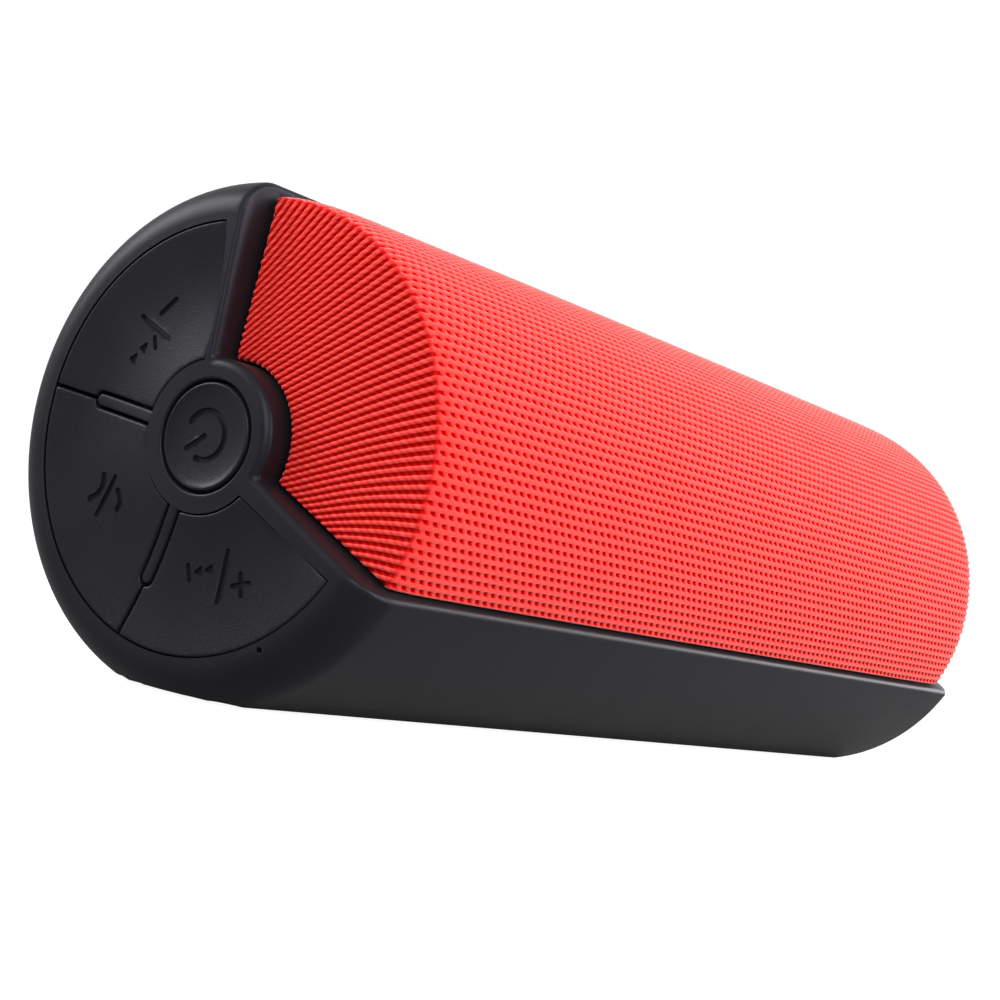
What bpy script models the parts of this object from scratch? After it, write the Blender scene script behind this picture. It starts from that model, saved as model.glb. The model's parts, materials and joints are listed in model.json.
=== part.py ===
"""Portable Bluetooth speaker: a lying cylinder with a black moulded housing, a knitted front cover,
three sector keys round a power button on one end, two small drivers and a passive radiator inside.

Frame: +X runs along the speaker from the control end to the plain end, the cover looks towards -Y
and up, +Z is up. The origin is on the table, under the middle of the speaker's axis.
Lengths here are in millimetres and turn into metres when a mesh is made.
Angles round the axis start at the front (-Y) and grow upwards, over the top and down the back.
"""
import math

import bmesh
import bpy
from mathutils import Matrix, Vector

MM = 0.001
GAP = 0.3

# Housing
LENGTH = 200.0
SHELL_R = 36.0
FLAT_DEPTH = 34.3
WALL = 2.6
END_PLATE = 3.0
SKIRT = 2.0
SKIRT_DEPTH = 9.0
CONTROL_RIM = (30.6, 6.1)
PLAIN_RIM = (31.25, 3.2)
RIM_STEPS = 4
PINHOLE_R = 30.75
PINHOLE_ANGLE = -57.8
PINHOLE_HALF = 0.45
PINHOLE_DEEP = 1.5
HUB_R = 10.8
SHELL_SEGMENTS = 72
OUTSIDE = 60.0

# Foot pad, let into the flat underside
FOOT_LENGTH = 150.0
FOOT_WIDTH = 13.0
FOOT_PROUD = 0.4
FOOT_POCKET = 1.0
AXIS_Z = FLAT_DEPTH + FOOT_PROUD

# V-shaped opening at both ends, where the cover wraps round onto the end
V_UPPER_ANGLE = 90.0
V_UPPER_OFFSET = 1.33
V_LOWER_ANGLE = -28.5
V_LOWER_OFFSET = -0.86
FRONT_ANGLE = 32.6

# Keys
GROOVE_HALF = 0.2
POWER_GROOVE_R = 7.6
KEY_IN_R = 10.4
KEY_OUT_R = 29.7
SEPARATOR_ANGLES = (172.8, 253.4)
BAR_HALF = 1.05
BAR_END_R = 20.95
KEY_UPPER_OFFSET = 2.45
KEY_UPPER_BOW = 1.35
KEY_LOWER_ANGLE = -26.1
KEY_LOWER_OFFSET = 2.68
KEY_DISH = 0.8
KEY_BODY = 2.7
FLANGE_TOP = 3.3
FLANGE_BOTTOM = 4.3
STEM_END = 6.9
STEM_R = 2.0
FLANGE_IN_R = 9.4
FLANGE_OUT_R = 31.0
WEB_INSET = 1.2
WEB_TOP = 2.2
WEB_BOTTOM = 3.8
POWER_FLANGE_R = 8.3
KEY_STEM_R = 20.0
KEY_STEM_ANGLES = {"key_volume_down": 133.0, "key_call_play": 213.0, "key_volume_up": 290.0}

# Cover and the stiff grille under it
COVER_R = 34.85
COVER_THICK = 1.2
COVER_HUB_DEPTH = 4.1
COVER_CREASE_DEPTH = 5.4
GRILLE_R = 33.2
GRILLE_THICK = 1.4

# Switch board behind the keys
PLUNGER_TOP = 7.2
PLUNGER_BOTTOM = 8.3
SWITCH_TOP = 8.6
SWITCH_BOTTOM = 11.7
SWITCH_HALF = 3.1
PLUNGER_R = 1.7
SWITCH_BOARD_TOP = 12.0
SWITCH_BOARD_THICK = 1.2
SWITCH_BOARD_R = 27.5
SWITCH_BOARD_SCREW_R = 23.0

# Pan-head screws: head radius, head height, shank radius and the holes for them
HEAD_R = 2.0
HEAD_HIGH = 1.1
SHANK_R = 1.0
SCREW_HOLE_R = 1.4
TIGHT_HOLE_R = 1.3

# Baffle and what it carries; n is the distance out from the axis towards the cover
BAFFLE_LOW = 13.5
BAFFLE_TOP = 16.3
BAFFLE_HALF_X = 82.0
BAFFLE_HALF_T = 26.6
BAFFLE_SCREW_X = 78.0
BAFFLE_SCREW_T = 24.0
LEDGE_X = 84.0
LEDGE_IN = 21.0
LEDGE_TOP = 12.2
LEDGE_LOW = 9.4
GASKET_LOW = 12.5
GASKET_TOP = 13.2
DRIVER_X = 56.0
DRIVER_HOLE_R = 17.6
DRIVER_SCREW = 16.4
RADIATOR_HALF = 13.0
RADIATOR_R = 14.5

# Battery
CELL_R = 9.2
CELL_LENGTH = 65.0
CELL_N = -18.0
TERMINAL_R = 4.0
TRAY_REACH = 85.0
TRAY_WALL = 2.0
TRAY_CUT_N = 8.0

# Main board and ports, in a plain Y-Z frame round the axis
BOARD_Z = 4.0
BOARD_THICK = 1.2
BOARD_BACK_Y = 28.8
BOARD_HALF_X = 38.0
BOARD_FRONT_Y = 5.0
POST_X = 30.0
POST_Y = 27.0
POST_HALF = 5.0
POST_LOW = 2.0
POST_HOLE_R = 1.2
PORT_PLATE_Y = 29.2
PORT_PLATE_THICK = 1.4
PORT_PLATE_HALF_X = 20.0
PORT_PLATE_LOW = -1.5
PORT_PLATE_HIGH = 12.6
AUX_X = -1.5
AUX_RISE = 3.0
AUX_NOSE_R = 3.0
AUX_BORE_R = 1.75
FLAP_HALF_X = 16.7
FLAP_LOW_Z = 1.8
FLAP_HIGH_Z = 13.2
FLAP_THICK = 1.6


MATERIALS = {
    "soft_black": ((0.028, 0.027, 0.031), 0.55, 0.0),
    "key_rubber": ((0.031, 0.030, 0.035), 0.6, 0.0),
    "red_knit": ((0.78, 0.07, 0.06), 0.85, 0.0),
    "frame_plastic": ((0.05, 0.05, 0.055), 0.5, 0.0),
    "foot_rubber": ((0.02, 0.02, 0.02), 0.8, 0.0),
    "board_green": ((0.02, 0.14, 0.06), 0.4, 0.0),
    "steel": ((0.6, 0.6, 0.62), 0.3, 1.0),
    "magnet_grey": ((0.12, 0.12, 0.13), 0.4, 1.0),
    "copper": ((0.72, 0.32, 0.16), 0.35, 1.0),
    "paper_cone": ((0.04, 0.04, 0.045), 0.8, 0.0),
    "foam_rubber": ((0.03, 0.03, 0.03), 0.9, 0.0),
    "cell_wrap": ((0.05, 0.22, 0.5), 0.4, 0.0),
    "chip_black": ((0.02, 0.02, 0.022), 0.35, 0.0),
}


def clear_scene():
    for obj in list(bpy.data.objects):
        bpy.data.objects.remove(obj, do_unlink=True)


def material(name):
    """A Principled material by its name in MATERIALS."""
    found = bpy.data.materials.get(name)
    if found:
        return found
    colour, roughness, metallic = MATERIALS[name]
    made = bpy.data.materials.new(name)
    made.use_nodes = True
    shader = made.node_tree.nodes["Principled BSDF"]
    shader.inputs["Base Color"].default_value = (*colour, 1.0)
    shader.inputs["Roughness"].default_value = roughness
    shader.inputs["Metallic"].default_value = metallic
    made.diffuse_color = (*colour, 1.0)
    return made


def polar(radius, degrees):
    """(forward, up) of a point on a circle round the axis."""
    angle = math.radians(degrees)
    return radius * math.cos(angle), radius * math.sin(angle)


def end_point(forward, up, depth, end):
    """A point at a depth below an end's face; end is -1 at the control end and +1 at the plain end."""
    return Vector((end * (LENGTH / 2 - depth), -forward, up))


def arc(radius, start, stop, steps, centre=(0.0, 0.0)):
    """Points on a circle from start to stop degrees, both included."""
    points = []
    for i in range(steps + 1):
        forward, up = polar(radius, start + (stop - start) * i / steps)
        points.append((centre[0] + forward, centre[1] + up))
    return points


def make(name, mesh_data, finish, origin=(0, 0, 0), parent=None, rotation=(0, 0, 0)):
    """Turns a bmesh in millimetres into a named object whose origin is at origin.

    Without a parent the origin is measured from the speaker's axis, which lies AXIS_Z up."""
    offset = Vector(origin)
    bmesh.ops.recalc_face_normals(mesh_data, faces=mesh_data.faces)
    bmesh.ops.scale(mesh_data, vec=(MM, MM, MM), verts=mesh_data.verts)
    mesh = bpy.data.meshes.new(name)
    mesh_data.to_mesh(mesh)
    mesh_data.free()
    mesh.shade_smooth()
    mesh.set_sharp_from_angle(angle=math.radians(35))
    mesh.materials.append(material(finish))
    obj = bpy.data.objects.new(name, mesh)
    bpy.context.scene.collection.objects.link(obj)
    lift = Vector((0, 0, 0)) if parent else Vector((0, 0, AXIS_Z))
    obj.location = (offset + lift) * MM
    obj.rotation_euler = rotation
    obj.parent = parent
    return obj


def shifted(mesh_data, origin):
    """Moves a bmesh so that origin becomes its zero point."""
    bmesh.ops.translate(mesh_data, vec=-Vector(origin), verts=mesh_data.verts)
    return mesh_data


def copy_of(source, name, location, parent):
    """Another object that shares source's mesh."""
    obj = bpy.data.objects.new(name, source.data)
    bpy.context.scene.collection.objects.link(obj)
    obj.location = Vector(location) * MM
    obj.rotation_euler = source.rotation_euler
    obj.parent = parent
    return obj


def between(bottom, top):
    """Closes two matching loops of points into a solid."""
    data = bmesh.new()
    low = [data.verts.new(p) for p in bottom]
    high = [data.verts.new(p) for p in top]
    data.faces.new(low[::-1])
    data.faces.new(high)
    count = len(low)
    for i in range(count):
        j = (i + 1) % count
        data.faces.new((low[i], low[j], high[j], high[i]))
    return data


def end_prism(outline, depth_a, depth_b, end=-1):
    """A prism along the axis from an outline of (forward, up) points."""
    first = [end_point(f, u, depth_a, end) for f, u in outline]
    second = [end_point(f, u, depth_b, end) for f, u in outline]
    return between(first, second)


def plate(outline, low, high):
    """A prism along local Z from an outline of (x, y) points."""
    return between([(x, y, low) for x, y in outline], [(x, y, high) for x, y in outline])


def box(low, high):
    """A box between two corners."""
    outline = [(low[0], low[1]), (high[0], low[1]), (high[0], high[1]), (low[0], high[1])]
    return plate(outline, low[2], high[2])


def turned(profile, segments, ring=False):
    """A solid of revolution about local Z from (radius, height) points.

    The profile of a ring closes on itself."""
    data = bmesh.new()
    loops = []
    for radius, height in profile:
        if radius < 1e-6:
            loops.append([data.verts.new((0, 0, height))])
            continue
        points = arc(radius, 0.0, 360.0, segments)[:-1]
        loops.append([data.verts.new((x, y, height)) for x, y in points])
    pairs = list(zip(loops, loops[1:]))
    if ring:
        pairs.append((loops[-1], loops[0]))
    for a, b in pairs:
        for i in range(segments):
            j = (i + 1) % segments
            corners = [a[i % len(a)], a[j % len(a)], b[j % len(b)], b[i % len(b)]]
            unique = list(dict.fromkeys(corners))
            data.faces.new(unique)
    return data


def turned_about_x(profile, segments):
    """A solid of revolution about the speaker's axis from (x, radius) points."""
    data = turned([(radius, x) for x, radius in profile], segments)
    spin = Matrix.Rotation(math.radians(90), 3, "Y")
    bmesh.ops.rotate(data, cent=(0, 0, 0), matrix=spin, verts=data.verts)
    return data


def stadium(half, radius, steps):
    """A rounded slot outline: two half circles of radius, half apart from the middle along X."""
    right = arc(radius, -90.0, 90.0, steps, (half, 0.0))
    left = arc(radius, 90.0, 270.0, steps, (-half, 0.0))
    return right + left


def stadium_ring(profile, half, steps):
    """A closed ring that follows a stadium; the profile holds (radius, height) points."""
    data = bmesh.new()
    loops = []
    for radius, height in profile:
        outline = stadium(half, radius, steps)
        loops.append([data.verts.new((x, y, height)) for x, y in outline])
    count = len(loops[0])
    for k, a in enumerate(loops):
        b = loops[(k + 1) % len(loops)]
        for i in range(count):
            j = (i + 1) % count
            data.faces.new((a[i], a[j], b[j], b[i]))
    return data


def boolean(target, mesh_data, operation, parent=None, rotation=(0, 0, 0)):
    """Cuts mesh_data from target, or joins it on; the tool stays in the scene as a hidden guide."""
    name = f"{target.name}_{operation.lower()}_{len(target.modifiers)}"
    tool = make(name, mesh_data, "frame_plastic", parent=parent, rotation=rotation)
    tool.hide_render = True
    tool.display_type = "WIRE"
    modifier = target.modifiers.new(name, "BOOLEAN")
    modifier.operation = operation
    modifier.solver = "EXACT"
    modifier.object = tool
    return tool


def cut(target, mesh_data, parent=None, rotation=(0, 0, 0)):
    return boolean(target, mesh_data, "DIFFERENCE", parent, rotation)


def join(target, mesh_data, parent=None):
    return boolean(target, mesh_data, "UNION", parent)


# ---------------------------------------------------------------- outlines of the ends


def wall_angle(direction, offset, radius):
    """Angle at which a straight wall, offset towards larger angles, crosses a circle."""
    return direction + math.degrees(math.asin(offset / radius))


def v_upper(radius, inset=0.0):
    return wall_angle(V_UPPER_ANGLE, V_UPPER_OFFSET + inset, radius)


def v_lower(radius, inset=0.0):
    return wall_angle(V_LOWER_ANGLE, -V_LOWER_OFFSET - inset, radius)


def key_upper(radius):
    """The uppermost key's edge beside the V: a slightly bowed line."""
    bow = KEY_UPPER_BOW * ((radius - 16.0) / 13.3) ** 2
    return wall_angle(V_UPPER_ANGLE, KEY_UPPER_OFFSET + bow, radius)


def key_lower(radius):
    """The lowest key's straight edge beside the V, as an angle past a full turn."""
    return 360.0 + wall_angle(KEY_LOWER_ANGLE, -KEY_LOWER_OFFSET, radius)


def shell_arc(radius, flat, start, stop, steps):
    """Part of the shell's outline, a circle with a flat underside."""
    half = math.degrees(math.acos(flat / radius))
    before = arc(radius, start, 270.0 - half, steps)
    after = arc(radius, 270.0 + half, stop, max(2, steps // 3))
    return before + after


def end_pocket():
    """The hollow behind an end plate: shell, lower V wall, hub, upper V wall, all drawn inwards."""
    radius = SHELL_R - WALL
    hub = HUB_R - SKIRT
    lower_out = 360.0 + v_lower(radius, SKIRT)
    shell = shell_arc(radius, FLAT_DEPTH - WALL, v_upper(radius, SKIRT), lower_out, 24)
    front_of_hub = arc(hub, v_lower(hub, SKIRT), v_upper(hub, SKIRT), 10)
    return shell + front_of_hub


def v_outline(reach=OUTSIDE):
    """The V-shaped space in front of the black end, past the shell's edge, hub cut out."""
    hub_side = arc(HUB_R, v_upper(HUB_R), v_lower(HUB_R), 14)
    outer = arc(reach, v_lower(reach), v_upper(reach), 4)
    return hub_side + outer


def bar_half(radius, margin):
    """Half width of a bar between keys, grown by margin, with its rounded outer end."""
    full = BAR_HALF + margin
    past = radius - BAR_END_R
    if past <= 0:
        return full
    return max(math.sqrt(max(full * full - past * past, 0.0)), max(margin, 0.0))


def bar_outline(separator):
    """Three sides of a bar between two keys, walking out from the hub and back."""
    half = BAR_HALF - GROOVE_HALF
    inner = KEY_IN_R - GROOVE_HALF
    local = [(inner, -half)]
    local += arc(half, -90.0, 90.0, 8, (BAR_END_R, 0.0))
    local += [(inner, half)]
    c, s = polar(1.0, separator)
    return [(x * c - y * s, x * s + y * c) for x, y in local]


def key_opening():
    """One outline for all three keys: the bars reach into it from the hub."""
    inner = KEY_IN_R - GROOVE_HALF
    outer = KEY_OUT_R + GROOVE_HALF
    slack = math.degrees(GROOVE_HALF / inner)
    bar_slack = math.degrees((BAR_HALF - GROOVE_HALF) / inner)
    first, second = SEPARATOR_ANGLES
    outline = arc(inner, key_upper(inner) - slack, first - bar_slack - 2.0, 6)
    outline += bar_outline(first)
    outline += arc(inner, first + bar_slack + 2.0, second - bar_slack - 2.0, 6)
    outline += bar_outline(second)
    outline += arc(inner, second + bar_slack + 2.0, key_lower(inner) + slack, 6)
    radii = [inner + (outer - inner) * i / 6 for i in range(1, 6)]
    outline += [polar(r, key_lower(r) + math.degrees(GROOVE_HALF / r)) for r in radii]
    ends = math.degrees(GROOVE_HALF / outer)
    outline += arc(outer, key_lower(outer) + ends, key_upper(outer) - ends, 36)
    outline += [polar(r, key_upper(r) - math.degrees(GROOVE_HALF / r)) for r in reversed(radii)]
    return outline


# ---------------------------------------------------------------- housing


def make_housing():
    """The one-piece black housing: back, underside and both ends."""
    half = LENGTH / 2
    rims = []
    for flat_r, round_depth in (CONTROL_RIM, PLAIN_RIM):
        rim = [(-half, 0.0)]
        for i in range(RIM_STEPS + 1):
            turn = math.radians(90.0 * i / RIM_STEPS)
            radius = flat_r + (SHELL_R - flat_r) * math.sin(turn)
            rim.append((-half + round_depth * (1 - math.cos(turn)), radius))
        rims.append(rim)
    profile = rims[0] + [(-x, r) for x, r in reversed(rims[1])]
    housing = make("housing", turned_about_x(profile, SHELL_SEGMENTS), "soft_black")
    cut(housing, box((-half - 5, -OUTSIDE, -OUTSIDE), (half + 5, OUTSIDE, -FLAT_DEPTH)))
    cut(housing, end_prism(v_outline(), -1.0, LENGTH + 1.0))
    inner = SHELL_R - WALL
    flat = FLAT_DEPTH - WALL
    bore = shell_arc(inner, flat, 0.0, 360.0, 30)
    for end in (-1, 1):
        cut(housing, end_prism(end_pocket(), END_PLATE, SKIRT_DEPTH + 0.5, end))
        cut(housing, end_prism(bore, SKIRT_DEPTH, half - LEDGE_X + 0.2, end))
    cut(housing, end_prism(ledged_bore(inner, flat), half - LEDGE_X, half + LEDGE_X))
    cut(housing, end_prism(key_opening(), -1.0, END_PLATE + 1.0))
    power_hole = arc(POWER_GROOVE_R + GROOVE_HALF, 0.0, 360.0, 32)[:-1]
    cut(housing, end_prism(power_hole, -1.0, END_PLATE + 1.0))
    pinhole = arc(PINHOLE_HALF, 0.0, 360.0, 8, polar(PINHOLE_R, PINHOLE_ANGLE))[:-1]
    cut(housing, end_prism(pinhole, -1.0, PINHOLE_DEEP))
    pocket = plate(
        stadium(FOOT_LENGTH / 2 - FOOT_WIDTH / 2, FOOT_WIDTH / 2 + GAP, 8),
        -FLAT_DEPTH - 1.0,
        -FLAT_DEPTH + FOOT_POCKET,
    )
    cut(housing, pocket)
    window_low = (-FLAP_HALF_X - GAP, 25.0, FLAP_LOW_Z - GAP)
    window_high = (FLAP_HALF_X + GAP, 40.0, FLAP_HIGH_Z + GAP)
    cut(housing, box(window_low, window_high))
    for side in (-1, 1):
        middle = side * POST_X
        post_low = (middle - POST_HALF, 25.0, POST_LOW)
        join(housing, box(post_low, (middle + POST_HALF, 34.0, BOARD_Z - GAP)))
        cut(housing, hole_at(middle, POST_Y, POST_HOLE_R, POST_LOW - 1.0, BOARD_Z + 2.0))
    return housing


def hole_at(x, y, radius, low, high):
    """A cutter for an upright hole."""
    hole = turned([(0, low), (radius, low), (radius, high), (0, high)], 8)
    bmesh.ops.translate(hole, vec=(x, y, 0.0), verts=hole.verts)
    return hole


def ledged_bore(inner, flat):
    """The bore's outline with a ledge under each long edge of the baffle."""
    turn = math.radians(FRONT_ANGLE)
    outline = []

    def add(points):
        for t, n in points:
            forward = n * math.cos(turn) - t * math.sin(turn)
            up = n * math.sin(turn) + t * math.cos(turn)
            outline.append((forward, up))

    under_t = math.sqrt(inner**2 - LEDGE_LOW**2)
    seat_angle = math.degrees(math.asin(LEDGE_TOP / inner))
    under_angle = math.degrees(math.asin(LEDGE_LOW / inner))
    outline += arc(inner, FRONT_ANGLE - 90 + seat_angle, FRONT_ANGLE + 90 - seat_angle, 14)
    add([(LEDGE_IN, LEDGE_TOP), (LEDGE_IN, LEDGE_LOW), (under_t, LEDGE_LOW)])
    start = FRONT_ANGLE + 90 - under_angle
    stop = FRONT_ANGLE + 270 + under_angle
    back = shell_arc(inner, flat, start, stop, 18)
    outline += back[1:-1]
    add([(-under_t, LEDGE_LOW), (-LEDGE_IN, LEDGE_LOW), (-LEDGE_IN, LEDGE_TOP)])
    return outline


def make_foot_pad():
    outline = stadium(FOOT_LENGTH / 2 - FOOT_WIDTH / 2, FOOT_WIDTH / 2, 8)
    low = -FLAT_DEPTH - FOOT_PROUD
    high = -FLAT_DEPTH + FOOT_POCKET - GAP
    origin = (0, 0, low)
    make("foot_pad", shifted(plate(outline, low, high), origin), "foot_rubber", origin)


# ---------------------------------------------------------------- keys


def sector(lo, hi, radii, columns, top, bottom, origin):
    """A closed sector-shaped block. lo and hi give its edge angles at a radius, top its depth."""
    data = bmesh.new()
    upper = []
    lower = []
    for radius in radii:
        start, stop = lo(radius), hi(radius)
        row_top = []
        row_low = []
        for j in range(columns + 1):
            forward, up = polar(radius, start + (stop - start) * j / columns)
            row_top.append(data.verts.new(end_point(forward, up, top(radius), -1)))
            row_low.append(data.verts.new(end_point(forward, up, bottom, -1)))
        upper.append(row_top)
        lower.append(row_low)
    rows = len(radii)
    for i in range(rows - 1):
        for j in range(columns):
            for grid in (upper, lower):
                data.faces.new((grid[i][j], grid[i][j + 1], grid[i + 1][j + 1], grid[i + 1][j]))
        for j in (0, columns):
            data.faces.new((upper[i][j], upper[i + 1][j], lower[i + 1][j], lower[i][j]))
    for i in (0, rows - 1):
        for j in range(columns):
            data.faces.new((upper[i][j], upper[i][j + 1], lower[i][j + 1], lower[i][j]))
    return shifted(data, origin)


def dish(radius):
    """Depth of a key's hollow top."""
    share = (radius - KEY_IN_R) / (KEY_OUT_R - KEY_IN_R)
    return KEY_DISH * math.sin(math.pi * min(max(share, 0.0), 1.0))


def key_edges(index, margin):
    """Edge angles of a key's sector, drawn in by margin from the grooves' centre lines."""

    def beside_v(angle_at, sign):
        return lambda r: angle_at(r) + sign * math.degrees(margin / r)

    def beside_bar(separator, sign):
        return lambda r: separator + sign * math.degrees(bar_half(r, margin) / r)

    first, second = SEPARATOR_ANGLES
    if index == 0:
        return beside_v(key_upper, 1), beside_bar(first, -1)
    if index == 1:
        return beside_bar(first, 1), beside_bar(second, -1)
    return beside_bar(second, 1), beside_v(key_lower, -1)


def make_keys():
    """Three sector keys with a flange behind the end plate and a stem over their switch."""
    inner = KEY_IN_R + GROOVE_HALF
    outer = KEY_OUT_R - GROOVE_HALF
    tip = BAR_END_R + BAR_HALF + GROOVE_HALF
    body_radii = [inner, 13.0, 16.0, 18.5, BAR_END_R, tip - 0.7, tip - 0.25, tip, 24.0, 27.0, outer]
    web_radii = [inner + WEB_INSET, 16.0, BAR_END_R, 22.0, 23.4, outer - WEB_INSET]
    flange_radii = [FLANGE_IN_R, 16.0, BAR_END_R, 22.0, 23.4, FLANGE_OUT_R]
    for index, (name, angle) in enumerate(KEY_STEM_ANGLES.items()):
        forward, up = polar(KEY_STEM_R, angle)
        origin = end_point(forward, up, 0.0, -1)
        lo, hi = key_edges(index, GROOVE_HALF)
        body = sector(lo, hi, body_radii, 8, dish, KEY_BODY, origin)
        key = make(name, body, "key_rubber", origin)
        lo, hi = key_edges(index, GROOVE_HALF + WEB_INSET)
        web = sector(lo, hi, web_radii, 6, lambda r: WEB_TOP, WEB_BOTTOM, (0, 0, 0))
        join(key, web)
        lo, hi = key_edges(index, GROOVE_HALF + 1.6)
        flange = sector(lo, hi, flange_radii, 6, lambda r: FLANGE_TOP, FLANGE_BOTTOM, (0, 0, 0))
        join(key, flange)
        stem = arc(STEM_R, 0.0, 360.0, 12, (forward, up))[:-1]
        join(key, end_prism(stem, 3.5, STEM_END))


def make_power_button():
    """The power button: a rimmed, shallow bowl on a flange and a stem, turned about its own axis."""
    profile = [(0, -0.65), (3.0, -0.58), (5.2, -0.3), (6.5, 0.0), (7.0, -0.04), (7.3, -0.25)]
    side = POWER_GROOVE_R - GROOVE_HALF
    profile += [(side, -0.5), (side, -FLANGE_TOP), (POWER_FLANGE_R, -FLANGE_TOP)]
    profile += [(POWER_FLANGE_R, -FLANGE_BOTTOM), (STEM_R, -FLANGE_BOTTOM)]
    profile += [(STEM_R, -STEM_END), (0, -STEM_END)]
    origin = end_point(0, 0, 0, -1)
    face_out = (0, math.radians(-90), 0)
    make("power_button", turned(profile, 24), "key_rubber", origin, rotation=face_out)


def make_switches():
    """Four tact switches on the switch board, each with its own plunger."""
    places = {"power": (0.0, 0.0)}
    for name, angle in KEY_STEM_ANGLES.items():
        places[name.replace("key_", "")] = polar(KEY_STEM_R, angle)
    corners = [(-1, -1), (1, -1), (1, 1), (-1, 1)]
    for name, (forward, up) in places.items():
        square = [(forward + SWITCH_HALF * a, up + SWITCH_HALF * b) for a, b in corners]
        origin = end_point(forward, up, SWITCH_TOP, -1)
        body = shifted(end_prism(square, SWITCH_TOP, SWITCH_BOTTOM), origin)
        make(f"switch_{name}", body, "steel", origin)
        cap = arc(PLUNGER_R, 0.0, 360.0, 12, (forward, up))[:-1]
        origin = end_point(forward, up, PLUNGER_TOP, -1)
        plunger = shifted(end_prism(cap, PLUNGER_TOP, PLUNGER_BOTTOM), origin)
        make(f"plunger_{name}", plunger, "chip_black", origin)


def make_switch_board():
    outline = arc(SWITCH_BOARD_R, 0.0, 360.0, 40)[:-1]
    low = SWITCH_BOARD_TOP + SWITCH_BOARD_THICK
    board = make("switch_board", end_prism(outline, SWITCH_BOARD_TOP, low), "board_green")
    for place in board_screw_places():
        hole = arc(SCREW_HOLE_R, 0.0, 360.0, 12, place)[:-1]
        cut(board, end_prism(hole, SWITCH_BOARD_TOP - 1, low + 1))


def board_screw_places():
    """Where two screws hold the switch board to the battery tray's end."""
    return [polar(SWITCH_BOARD_SCREW_R, FRONT_ANGLE + 180.0 + swing) for swing in (-40.0, 40.0)]


# ---------------------------------------------------------------- cover and grille


def front_sheet(name, finish, radius, hub_depth, crease_depth, margin, thick, windows):
    """A sheet over the front that folds round both ends to the hub, then is thickened inwards.

    margin keeps it clear of the V walls and the hub; windows leaves a grid of openings."""
    hub = HUB_R + margin
    rise = [(hub_depth, hub), (crease_depth, radius - 1.0), (crease_depth + 0.45, radius - 0.3)]
    rise += [(crease_depth + 1.2, radius)]
    half = LENGTH / 2
    runs = 15 if windows else 6
    start = crease_depth + 1.2
    stop = LENGTH - start
    middle = [(start + (stop - start) * i / runs, radius) for i in range(1, runs)]
    profile = rise + middle + [(LENGTH - depth, r) for depth, r in reversed(rise)]
    columns = 9 if windows else 20
    data = bmesh.new()
    grid = []
    for depth, r in profile:
        low = v_lower(r, -margin)
        high = v_upper(r, -margin)
        row = []
        for j in range(columns + 1):
            forward, up = polar(r, low + (high - low) * j / columns)
            row.append(data.verts.new((depth - half, -forward, up)))
        grid.append(row)
    first = len(rise)
    last = len(profile) - len(rise) - 1
    for i in range(len(profile) - 1):
        for j in range(columns):
            pierced = windows and first <= i < last and (i - first) % 2 == 0 and j % 2 == 1
            if not pierced:
                data.faces.new((grid[i][j], grid[i + 1][j], grid[i + 1][j + 1], grid[i][j + 1]))
    loose = [v for v in data.verts if not v.link_faces]
    bmesh.ops.delete(data, geom=loose, context="VERTS")
    sheet = make(name, data, finish)
    solid = sheet.modifiers.new("thickness", "SOLIDIFY")
    solid.thickness = thick * MM
    solid.offset = -1.0
    solid.use_even_offset = True
    return sheet


# ---------------------------------------------------------------- baffle, drivers, radiator


def make_baffle(front):
    """The flat baffle with two driver holes and a slot for the passive radiator, over its gasket."""
    outline = [
        (-BAFFLE_HALF_X, -BAFFLE_HALF_T),
        (BAFFLE_HALF_X, -BAFFLE_HALF_T),
        (BAFFLE_HALF_X, BAFFLE_HALF_T),
        (-BAFFLE_HALF_X, BAFFLE_HALF_T),
    ]
    baffle = make("baffle", plate(outline, BAFFLE_LOW, BAFFLE_TOP), "frame_plastic", parent=front)
    low = BAFFLE_LOW - 1.0
    high = BAFFLE_TOP + 1.0
    for side in (-1, 1):
        hole = arc(DRIVER_HOLE_R, 0.0, 360.0, 28, (side * DRIVER_X, 0.0))[:-1]
        cut(baffle, plate(hole, low, high), front)
    cut(baffle, plate(stadium(RADIATOR_HALF, RADIATOR_R + 0.6, 12), low, high), front)
    inner_x = BAFFLE_HALF_X - 4.0
    inner_t = LEDGE_IN + 1.0
    gasket = make("baffle_gasket", plate(outline, GASKET_LOW, GASKET_TOP), "foam_rubber", parent=front)
    window = box((-inner_x, -inner_t, GASKET_LOW - 1), (inner_x, inner_t, GASKET_TOP + 1))
    cut(gasket, window, front)
    screw = None
    housing = bpy.data.objects["housing"]
    for number, (x, t) in enumerate(baffle_screw_places(), 1):
        hole = arc(SCREW_HOLE_R, 0.0, 360.0, 8, (x, t))[:-1]
        cut(baffle, plate(hole, low, high), front)
        cut(gasket, plate(hole, GASKET_LOW - 1, GASKET_TOP + 1), front)
        pilot = plate(hole, LEDGE_LOW - 1, LEDGE_TOP + 1)
        cut(housing, pilot, front)
        name = f"baffle_screw_{number}"
        place = (x, t, BAFFLE_TOP + GAP)
        if screw is None:
            screw = make(name, screw_body(6.0), "steel", place, front)
        else:
            copy_of(screw, name, place, front)


def baffle_screw_places():
    """Where four screws hold the baffle to the housing's ledges, near its corners."""
    corners = [(-1, -1), (-1, 1), (1, -1), (1, 1)]
    return [(a * BAFFLE_SCREW_X, b * BAFFLE_SCREW_T) for a, b in corners]


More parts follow.
